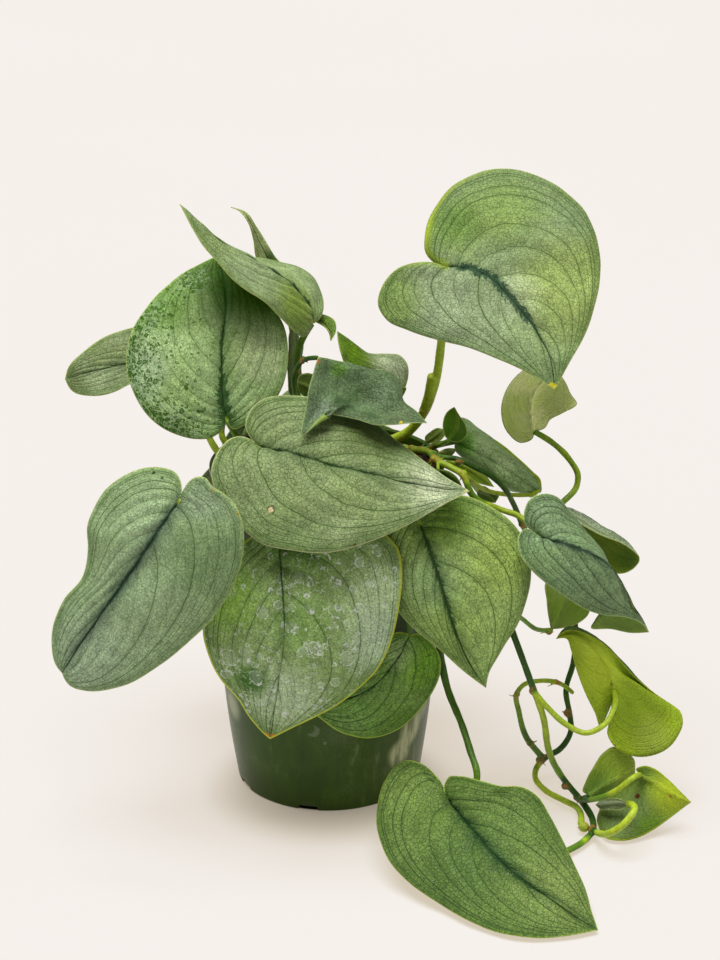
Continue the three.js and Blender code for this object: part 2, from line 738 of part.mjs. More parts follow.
const STEMS = {
  stem_left: {
    foot: foot(-36, 4, 205),
    paths: [
      [[V(-36, 4, 202), at(252, 449, -14), at(239, 438, -24)], 2.3, 2, 'leaf_speckled'],
      [[V(-36, 4, 200), at(236, 468, -8), at(221, 456, 2), at(212, 443, 8), at(201, 412, 18),
        at(196, 380, 30)], 2.3, 1.8, 'leaf_back_left'],
      [[V(-36, 4, 201), at(246, 462, 2), at(231, 449, 8), at(222, 436, 12), at(224, 420, 18),
        at(240, 402, 26)], 2.1, 1.8, 'leaf_hidden_high'],
      [[V(-36, 4, 203), V(-42, -8, 212), V(-48, -44, 209), V(-62, -68, 210)], 2.4, 2, 'leaf_left'],
    ],
  },
  stem_centre: {
    foot: foot(-6, -18, 205),
    paths: [
      [[V(-6, -18, 202), V(-18, -32, 212), V(-32, -44, 224)], 2.4, 2.2, 'leaf_centre'],
      [[V(-6, -18, 199), V(-12, -40, 206), V(-18, -62, 207), V(-22, -75, 203)], 2.4, 2, 'leaf_front'],
      [[V(-6, -18, 203), V(-12, -12, 220), at(297, 402, -10), at(294, 376, -10),
        at(301, 362, -16)], 2, 1.4, 'leaf_crumpled'],
      [[V(-12, -12, 220), at(318, 412, -4)], 1.4, 1.2, 'leaf_olive_back'],
    ],
  },
  stem_back: {
    foot: foot(2, 26, 206),
    paths: [
      [[V(2, 26, 203), V(-10, 14, 218), at(298, 400, 4), at(296, 370, 1),
        at(300, 345, 2)], 2.4, 2, 'leaf_top_left'],
      [[at(296, 371, 1), at(301, 352, 6), at(303, 330, 15)], 1.4, 1.1, 'leaf_small_curl'],
      [[V(2, 26, 205), at(293, 415, 24)], 1.6, 1.3, 'leaf_edge_on'],
      [[V(2, 26, 205), at(297, 400, 40), at(294, 350, 50)], 2, 1.4, 'leaf_top_curl'],
      [[V(2, 26, 204), at(372, 410, 18), at(396, 400, 12)], 2, 1.6, 'leaf_pale_fold'],
      [[V(2, 26, 200), V(-12, 52, 206), V(-20, 67, 207), V(-27, 78, 200)], 2.2, 2, 'leaf_hidden_back'],
      [[V(2, 26, 200), V(8, 52, 206), V(13, 69, 207),
        V(18, 79, 200)], 2.2, 2, 'leaf_hidden_back_right'],
      [[V(2, 26, 203), V(2, 42, 211)], 2.2, 1.8, 'leaf_hidden_middle'],
    ],
  },
  stem_back_left: {
    foot: foot(-32, 36, 205),
    paths: [
      [[V(-32, 36, 200), V(-38, 48, 206), V(-44, 56, 207),
        V(-50, 63, 198)], 2.2, 2, 'leaf_hidden_back_left'],
    ],
  },
  stem_tall: {
    foot: foot(34, 34, 205, 3.2),
    paths: [
      [[V(34, 34, 202), at(400, 437, 32), at(424, 412, 24), at(434, 387, 18), at(441, 345, 12),
        at(444, 305, 14)], 3.1, 2.4, 'leaf_top_right'],
      [[at(424, 410, 23), at(430, 390, 18), at(433, 376, 15)], 2.6, 3.4],
    ],
  },
  stem_right: {
    foot: foot(26, -22, 205),
    paths: [
      [[V(26, -22, 202), V(36, -38, 208), V(48, -56, 208)], 2.4, 2.2, 'leaf_front_right'],
      [[V(26, -22, 199), V(30, -42, 206), V(36, -62, 207), V(42, -66, 184)], 2.4, 2, 'leaf_front_low'],
      [[V(26, -22, 201), V(42, -34, 208), V(57, -46, 208), at(424, 560, -50), at(438, 640, -50),
        at(448, 690, -56), at(462, 725, -68), at(470, 750, -80), at(477, 778, -93),
        at(468, 800, -96)], 2.6, 2, 'leaf_floor_front'],
    ],
  },
  vine_front: {
    foot: foot(46, -4, 205),
    paths: [
      [[V(46, -4, 202), V(55, -24, 208), V(62, -37, 207), V(73, -45, 197), at(500, 600, -54),
        at(514, 636, -60), at(533, 688, -66), at(543, 716, -68), at(549, 751, -66),
        at(565, 781, -58), low(583, 803, 9), low(592, 818, 5.5), low(592, 832, 4.5),
        low(584, 841, 4), low(569, 850, 4), low(545, 858, 4)], 2, 2],
      [[at(500, 600, -54), at(510, 612, -48), at(521, 618, -40),
        at(536, 629, -30)], 1.5, 1.4, 'leaf_right_low'],
      [[at(533, 690, -66), at(548, 708, -70), at(567, 725, -75), at(586, 733, -78),
        at(604, 725, -76), at(614, 708, -66)], 1.8, 1.65, 'leaf_lime_hanging'],
      [[low(592, 829, 5), low(601, 834, 9), low(612, 832, 16), low(624, 824, 22),
        low(633, 813, 27)], 2, 2.3, 'leaf_floor_small'],
      [[low(580, 800, 10), low(589, 800, 17), low(602, 797, 25), low(617, 790, 33),
        low(630, 780, 40)], 1.7, 1.7, 'leaf_floor_right'],
      [[low(580, 800, 10), low(583, 798, 13)], 1.6, 1.4, 'leaf_floor_back'],
    ],
  },
  vine_back: {
    foot: foot(46, 18, 205),
    paths: [
      [[V(46, 18, 202), V(56, 8, 207), at(441, 457, -8), at(458, 459, -11), at(474, 467, -13),
        at(491, 476, -14), at(504, 488, -13), at(513, 503, -8), at(522, 524, -2), at(538, 552, 6),
        at(557, 584, 8), at(573, 612, 6), at(576, 635, 4), at(573, 664, 2), at(566, 690, -4),
        at(570, 716, -10), at(571, 730, -13), at(560, 749, -15), at(545, 758, -16),
        low(537, 767, 8), low(535, 775, 6), low(545, 790, 4.5), low(563, 800, 4.5),
        low(575, 806, 4.5), low(581, 824, 5)], 1.6, 2],
      [[at(543, 758, -16), at(536, 750, -18), at(528, 740, -20), at(519, 712, -24),
        at(517, 693, -27), at(525, 684, -29), at(538, 681, -30), at(556, 682, -29),
        at(573, 693, -26)], 2.1, 1.3],
      [[V(52, 12, 205), V(60, 0, 208), at(438, 461, -15), at(452, 468, -21), at(463, 475, -25),
        at(467, 484, -27), at(471, 493, -28), at(479, 501, -28), at(491, 506, -27),
        at(505, 511, -28), at(517, 515, -32), at(527, 522, -38)], 2.2, 1.7, 'leaf_right'],
      [[at(463, 475, -25), at(469, 479, -21), at(478, 486, -15), at(492, 492, -6),
        at(503, 494, -2), at(515, 495, 1), at(531, 495, 3)], 1.6, 1.3],
      [[V(60, 0, 208)], 1.3, 1, 'leaf_young'],
      [[at(438, 461, -15)], 1.3, 1, 'leaf_olive_front'],
      [[at(469, 479, -21)], 1.3, 1, 'leaf_olive_under'],
      [[V(56, 8, 207)], 1.3, 1, 'leaf_olive_low'],
      [[at(522, 524, -2), at(540, 518, 4)], 1.7, 1.5, 'leaf_right_back'],
      [[at(522, 524, -2), at(545, 517, 8), at(563, 502, 16), at(577, 485, 24),
        at(578, 476, 26), at(569, 459, 30), at(554, 444, 32)], 2, 1.9, 'leaf_back_right'],
      [[V(50, 14, 205), at(417, 452, 16), at(434, 446, 18)], 2.1, 2, 'leaf_rolled'],
      [[at(417, 452, 16), at(421, 449, 20)], 1.3, 1, 'leaf_pale_small'],
      [[at(434, 446, 18), at(441, 444, 8)], 1.6, 1.3, 'leaf_lime_mouth'],
    ],
  },
};

// A petiole that ends under the foot of a blade, as close to it as the seat gap allows
function petiole(points, r0, r1, leaf, blades) {
  for (let reach = BLADE / 2 + SEAT_GAP; reach < SEAT_REACH; reach += 0.1) {
    const body = toSolid(tube([...points, under(leaf, reach)], r0, r1));
    if (body.minGap(blades[leaf], 2 * SEAT_GAP) >= SEAT_GAP) return body;
  }
  throw new Error(`no clear seat under ${leaf}`);
}

// A stem as one body
function stemSolid(spec, blades) {
  let whole = toSolid(tube(...spec.foot));
  spec.paths.forEach(([points, r0, r1, leaf]) => {
    const part = leaf ? petiole(points, r0, r1, leaf, blades) : toSolid(tube(points, r0, r1));
    whole = whole.add(part);
  });
  return whole;
}

// Outer radius of the pot's wall at a height: it opens fast at the base and stands straighter above
function potRadius(z) {
  const left = (1 - z / POT_HEIGHT) ** POT_CURVE;
  return POT_NECK_R - (POT_NECK_R - POT_BASE_R) * left;
}

// A turned body from its profile of [radius, height] pairs, axis to axis
function turned(profile, segments = 36) {
  const lathe = new THREE.LatheGeometry(profile.map(([r, z]) => new THREE.Vector2(r, z)), segments);
  lathe.rotateX(Math.PI / 2);
  const seen = new Map();
  const position = [];
  const swap = [];
  const source = lathe.attributes.position;
  for (let i = 0; i < source.count; i += 1) {
    const q = [source.getX(i), source.getY(i), source.getZ(i)];
    const key = q.map((v) => Math.round(v * 1e3)).join(' ');
    if (!seen.has(key)) {
      seen.set(key, position.length / 3);
      position.push(...q);
    }
    swap.push(seen.get(key));
  }
  const triangles = [];
  const index = lathe.index.array;
  for (let i = 0; i < index.length; i += 3) {
    const f = [swap[index[i]], swap[index[i + 1]], swap[index[i + 2]]];
    if (f[0] !== f[1] && f[1] !== f[2] && f[0] !== f[2]) triangles.push(...f);
  }
  return closedGeometry(position, triangles);
}

function potGeometry() {
  const heights = [0, 20, 46, 80, 125, POT_HEIGHT - RIM_DROP];
  const outer = heights.map((z) => [potRadius(z), z]);
  const inner = heights.slice(1, 5).reverse().map((z) => [potRadius(z) - POT_WALL, z]);
  const lip = [
    [RIM_R - 0.4, POT_HEIGHT - RIM_DROP], [RIM_R, POT_HEIGHT - RIM_DROP + 0.6],
    [RIM_R, POT_HEIGHT - 0.9], [RIM_R - 0.9, POT_HEIGHT],
    [POT_NECK_R - POT_WALL + 0.8, POT_HEIGHT], [POT_NECK_R - POT_WALL, POT_HEIGHT - 0.8],
  ];
  const wall = [[0, 0], ...outer, ...lip, ...inner];
  const floor = [[POT_BASE_R - POT_WALL + 0.3, POT_FLOOR], [0, POT_FLOOR]];
  let pot = toSolid(turned([...wall, ...floor]));
  for (let i = 0; i < NOTCH_COUNT; i += 1) {
    const a = THREE.MathUtils.degToRad(NOTCH_TURN + (360 / NOTCH_COUNT) * i);
    const box = new THREE.BoxGeometry(NOTCH_DEPTH, NOTCH_WIDTH, 2 * NOTCH_HEIGHT);
    const cut = toSolid(closedBox(box)).translate([POT_BASE_R - NOTCH_DEPTH / 2 + 2, 0, 0]);
    pot = pot.subtract(cut.rotate([0, 0, THREE.MathUtils.radToDeg(a)]));
  }
  return fromSolid(pot);
}

// A box with shared corners
function closedBox(box) {
  const seen = new Map();
  const position = [];
  const source = box.attributes.position;
  const swap = [];
  for (let i = 0; i < source.count; i += 1) {
    const q = [source.getX(i), source.getY(i), source.getZ(i)];
    const key = q.join(' ');
    if (!seen.has(key)) {
      seen.set(key, position.length / 3);
      position.push(...q);
    }
    swap.push(seen.get(key));
  }
  return closedGeometry(position, Array.from(box.index.array, (k) => swap[k]));
}

// Repeatable scatter
function scatter(seed) {
  let state = seed;
  return () => {
    state = (state * 16807) % 2147483647;
    return state / 2147483647;
  };
}

function soilGeometry(stems) {
  const inside = (z) => potRadius(z) - POT_WALL - FIT_GAP;
  const heights = [SOIL_BOTTOM, 46, 125, SOIL_TOP];
  const low0 = POT_FLOOR + FIT_GAP;
  const side = [[inside(low0) - 0.9, low0], ...heights.slice(1).map((z) => [inside(z) - 0.5, z])];
  let soil = toSolid(turned([[0, low0], ...side, [0, SOIL_TOP + 1.5]], 36));
  const pick = scatter(71);
  for (let i = 0; i < 12; i += 1) {
    const r = 54 * Math.sqrt(pick());
    const a = 2 * Math.PI * pick();
    const size = 3 + 3.5 * pick();
    const centre = V(r * Math.cos(a), r * Math.sin(a), SOIL_TOP + 0.3);
    soil = soil.add(toSolid(lump(centre, size, size * 0.6, 2.2 + pick(), a)));
  }
  Object.values(stems).forEach(({ foot: [points, r] }) => {
    const wide = r + FIT_GAP;
    const hole = turned([[0, 0], [wide, 0], [wide, HOLE_CUT], [0, HOLE_CUT]], 12);
    hole.translate(points[0].x, points[0].y, points[0].z - FIT_GAP);
    soil = soil.subtract(toSolid(hole));
  });
  return fromSolid(soil);
}

// Colours read from the photograph
const FINISH = {
  pot: { color: 0x3d4f26, roughness: 0.42 },
  soil: { color: 0x3a2a20, roughness: 0.95 },
  silver: { color: 0x7f9a78, roughness: 0.55 },
  dark: { color: 0x4d6b52, roughness: 0.5 },
  lime: { color: 0x88a83a, roughness: 0.5 },
  stem: { color: 0x7d9a2e, roughness: 0.45 },
};

const LIME_LEAVES = [
  'leaf_lime_mouth', 'leaf_pale_small', 'leaf_young', 'leaf_olive_under', 'leaf_lime_hanging',
  'leaf_back_right', 'leaf_olive_front', 'leaf_right_low', 'leaf_olive_back', 'leaf_small_curl',
  'leaf_top_curl', 'leaf_floor_right', 'leaf_floor_back',
];
const DARK_LEAVES = [
  'leaf_crumpled', 'leaf_front_low', 'leaf_back_left', 'leaf_edge_on', 'leaf_rolled',
  'leaf_floor_small', 'leaf_hidden_back',
];

function piece(name, geometry, finish) {
  const material = new THREE.MeshStandardMaterial({ ...FINISH[finish], metalness: 0 });
  const mesh = new THREE.Mesh(geometry, material);
  mesh.name = name;
  return mesh;
}

const pothos = new THREE.Group();
pothos.name = 'potted_satin_pothos';
pothos.add(piece('pot', potGeometry(), 'pot'));
pothos.add(piece('soil', soilGeometry(STEMS), 'soil'));
const blades = {};
Object.entries(LEAVES).forEach(([name, spec]) => {
  blades[name] = toSolid(bladeGeometry(spec));
});
Object.entries(STEMS).forEach(([name, spec]) => {
  pothos.add(piece(name, fromSolid(stemSolid(spec, blades)), 'stem'));
});
Object.entries(LEAVES).forEach(([name, spec]) => {
  let finish = 'silver';
  if (LIME_LEAVES.includes(name)) finish = 'lime';
  if (DARK_LEAVES.includes(name)) finish = 'dark';
  pothos.add(piece(name, fromSolid(blades[name]), finish));
});

export default pothos;
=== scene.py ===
"""The looks of a potted silver satin pothos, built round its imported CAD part.

Lengths in the tables are millimetres in the part's own frame: the pot stands on z = 0 with its axis on z,
and the photograph's viewer is on the -Y side. Meshes are written in metres.
"""

import functools
import math

import bmesh
import bpy
import numpy as np
from mathutils import Matrix, Vector


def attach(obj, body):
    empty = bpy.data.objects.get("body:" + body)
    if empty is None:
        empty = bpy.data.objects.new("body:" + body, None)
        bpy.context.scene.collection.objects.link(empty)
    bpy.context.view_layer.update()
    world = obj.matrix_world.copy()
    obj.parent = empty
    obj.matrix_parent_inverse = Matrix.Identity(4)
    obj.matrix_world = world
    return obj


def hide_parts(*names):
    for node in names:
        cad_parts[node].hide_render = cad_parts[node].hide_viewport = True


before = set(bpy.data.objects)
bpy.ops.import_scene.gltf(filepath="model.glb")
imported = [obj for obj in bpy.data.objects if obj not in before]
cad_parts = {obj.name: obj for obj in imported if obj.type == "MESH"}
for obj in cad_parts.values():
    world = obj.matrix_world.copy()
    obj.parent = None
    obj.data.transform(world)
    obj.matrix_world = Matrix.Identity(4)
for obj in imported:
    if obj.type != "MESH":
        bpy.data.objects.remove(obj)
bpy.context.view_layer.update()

MM = 0.001

# The photograph's camera
PHOTO_CENTRE = (360, 480)
PHOTO_FOCAL = 2236
PHOTO_LONG_SIDE = 960
SENSOR_MM = 36
CAMERA_MM = np.array([19.4, -1226.0, 671.0])
CAMERA_PITCH = math.radians(21.4)

# The pot and its soil, as in the part
POT_BASE_R = 55.8
POT_NECK_R = 67.3
POT_CURVE = 3
POT_HEIGHT = 202.0
RIM_R = 69.0
RIM_DROP = 3.4
POT_WALL = 1.8
POT_FLOOR = 2.4
NOTCH_COUNT = 7
NOTCH_WIDTH = 12.0
NOTCH_HEIGHT = 3.2
NOTCH_DEPTH = 7.0
NOTCH_TURN = 258
SOIL_TOP = 196.0
FIT_GAP = 0.35
HOLE_DEPTH = 22.0

# The blades: thickness, camber as a share of the width, the power by which the midrib lags behind the
# margins, and the lateral veins' spacing and sweep as shares of the blade's length
BLADE = 0.9
CAMBER = 0.06
MIDRIB_ADVANCE = 1.7
VEIN_SPACING = 0.135
VEIN_SWEEP = 0.35

# Their relief: the sunk veins' depth and half width, the rise between them as a share of their spacing,
# the channel over the midrib, the keel below it, and the half width of both
VEIN_DEPTH = 0.3
VEIN_HALF = 1.5
QUILT_RISE = 0.075
CHANNEL_DEPTH = 0.5
KEEL_DEPTH = 0.9
MIDRIB_HALF = 0.9

# The margin of a blade that rolls over: its radius and the flap beyond
ROLL_R = 1.9
ROLL_FLAP = 3.4

# The stems: the skin's voxels, how much wider than the petiole a knot is, the share of its radius by which
# a petiole's end stays below the blade, and the blade's share where it is held
STEM_VOXEL = 0.58
KNOT_SWELL = 1.18
PETIOLE_SINK = 0.3
PETIOLE_SEAT = 0.12

# The fragments on the soil: how many, their sizes with the odds of each, and the white grains
CRUMBS = 430
CRUMB_SIZES = [1.5, 2.2, 3.2, 4.6]
CRUMB_ODDS = [0.4, 0.3, 0.2, 0.1]
PERLITE = 60

# The light: a white tent and a broad key, and the paper floor that glows a little as painted fill light
TENT = 0.22
TENT_COLOUR = (1.0, 0.945, 0.87, 1.0)
KEY = 4.15
KEY_COLOUR = (1.0, 0.985, 0.945)
KEY_WAY = (0.1, 0.06, -1.0)
KEY_SPREAD = 44
FLOOR_COLOUR = (0.194, 0.221, 0.278, 1.0)
FLOOR_GLOW = (0.62, 0.54, 0.435, 1.0)
# Painted contact shadow round the pot's foot: a darker colour and less glow, centred a little to the front;
# under the pot, painted shade
FOOT_SHADE_COLOUR = (0.44, 0.39, 0.34, 1.0)
FOOT_SHADE_GLOW = 0.4
FOOT_SHADE_SHIFT = 24
UNDER_POT_SHADE_COLOUR = (0.02, 0.018, 0.014, 1.0)
FLOOR_HALF_M = 30.0


def linked(name, data):
    """A new object in the scene."""
    thing = bpy.data.objects.new(name, data)
    bpy.context.scene.collection.objects.link(thing)
    return thing


def add_camera():
    """The photograph's own view: looking along +Y, pitched down."""
    lens = bpy.data.cameras.new("camera")
    lens.sensor_width = SENSOR_MM
    lens.lens = PHOTO_FOCAL * SENSOR_MM / PHOTO_LONG_SIDE
    lens.clip_start = 0.01
    lens.clip_end = 100
    camera = linked("camera", lens)
    camera.location = Vector(CAMERA_MM * MM)
    camera.rotation_euler = (math.radians(90) - CAMERA_PITCH, 0, 0)
    bpy.context.scene.camera = camera


add_camera()


def V(x, y, z):
    """A place or a direction."""
    return np.array([x, y, z], float)


def ray(px, py):
    """Direction of the ray through a point of the photograph."""
    right = (px - PHOTO_CENTRE[0]) / PHOTO_FOCAL
    down = (py - PHOTO_CENTRE[1]) / PHOTO_FOCAL
    c = math.cos(CAMERA_PITCH)
    s = math.sin(CAMERA_PITCH)
    return V(right, c - down * s, -s - down * c)


def at(px, py, y):
    """The place seen at photo pixel (px, py) that lies y mm behind the pot's axis."""
    d = ray(px, py)
    return CAMERA_MM + d * (y - CAMERA_MM[1]) / d[1]


def low(px, py, z):
    """The place seen at photo pixel (px, py) that lies z mm above the floor."""
    d = ray(px, py)
    return CAMERA_MM + d * (z - CAMERA_MM[2]) / d[2]


def unit(v):
    """Vectors scaled to length 1 along the last axis."""
    return v / np.maximum(np.linalg.norm(v, axis=-1, keepdims=True), 1e-12)


def ease(value, start, end):
    """0 up to start, 1 from end on, smooth between."""
    u = np.clip((value - start) / (end - start), 0, 1)
    return u * u * (3 - 2 * u)


def curve_through(points):
    """A smooth curve through points, asked for by its share of the chord length."""
    p = np.array(points, float)
    step = np.diff(p, axis=0)
    h = np.maximum(np.linalg.norm(step, axis=1), 1e-6)
    start = np.concatenate([[0], np.cumsum(h)])
    slope = step / h[:, None]
    tangent = np.empty_like(p)
    if len(p) == 2:
        tangent[:] = slope[0]
    else:
        before = slope[:-1] * h[1:, None]
        after = slope[1:] * h[:-1, None]
        tangent[1:-1] = (before + after) / (h[:-1] + h[1:])[:, None]
        tangent[0] = 1.5 * slope[0] - 0.5 * tangent[1]
        tangent[-1] = 1.5 * slope[-1] - 0.5 * tangent[-2]

    def curve(share):
        d = np.clip(np.atleast_1d(share), 0, 1) * start[-1]
        i = np.clip(np.searchsorted(start, d, side="right") - 1, 0, len(h) - 1)
        u = ((d - start[i]) / h[i])[:, None]
        reach = h[i][:, None]
        return (
            p[i] * (2 * u**3 - 3 * u**2 + 1)
            + tangent[i] * (u**3 - 2 * u**2 + u) * reach
            + p[i + 1] * (3 * u**2 - 2 * u**3)
            + tangent[i + 1] * (u**3 - u**2) * reach
        )

    return curve


def heart(base, tip, face, width, droop):
    """A heart-shaped blade for the leaves at the back: base, tip, the way its top faces, width, droop."""
    along = tip - base
    up = unit(face - along * np.dot(face, along) / np.dot(along, along))
    across = unit(np.cross(up, along))

    def point(u, v):
        lift = -droop * (u * u - u) * 4 - 0.16 * width * abs(v)
        return base + along * u + across * v * width + up * lift

    margin = [
        (-0.05, 0.08), (-0.13, 0.22), (-0.11, 0.37), (0.04, 0.48),
        (0.25, 0.5), (0.5, 0.41), (0.74, 0.23), (0.9, 0.08),
    ]
    return {
        "midrib": [point(u, 0) for u in (0, 0.25, 0.5, 0.75, 1)],
        "one": [point(u, -v) for u, v in margin],
        "two": [point(u, v) for u, v in margin],
    }


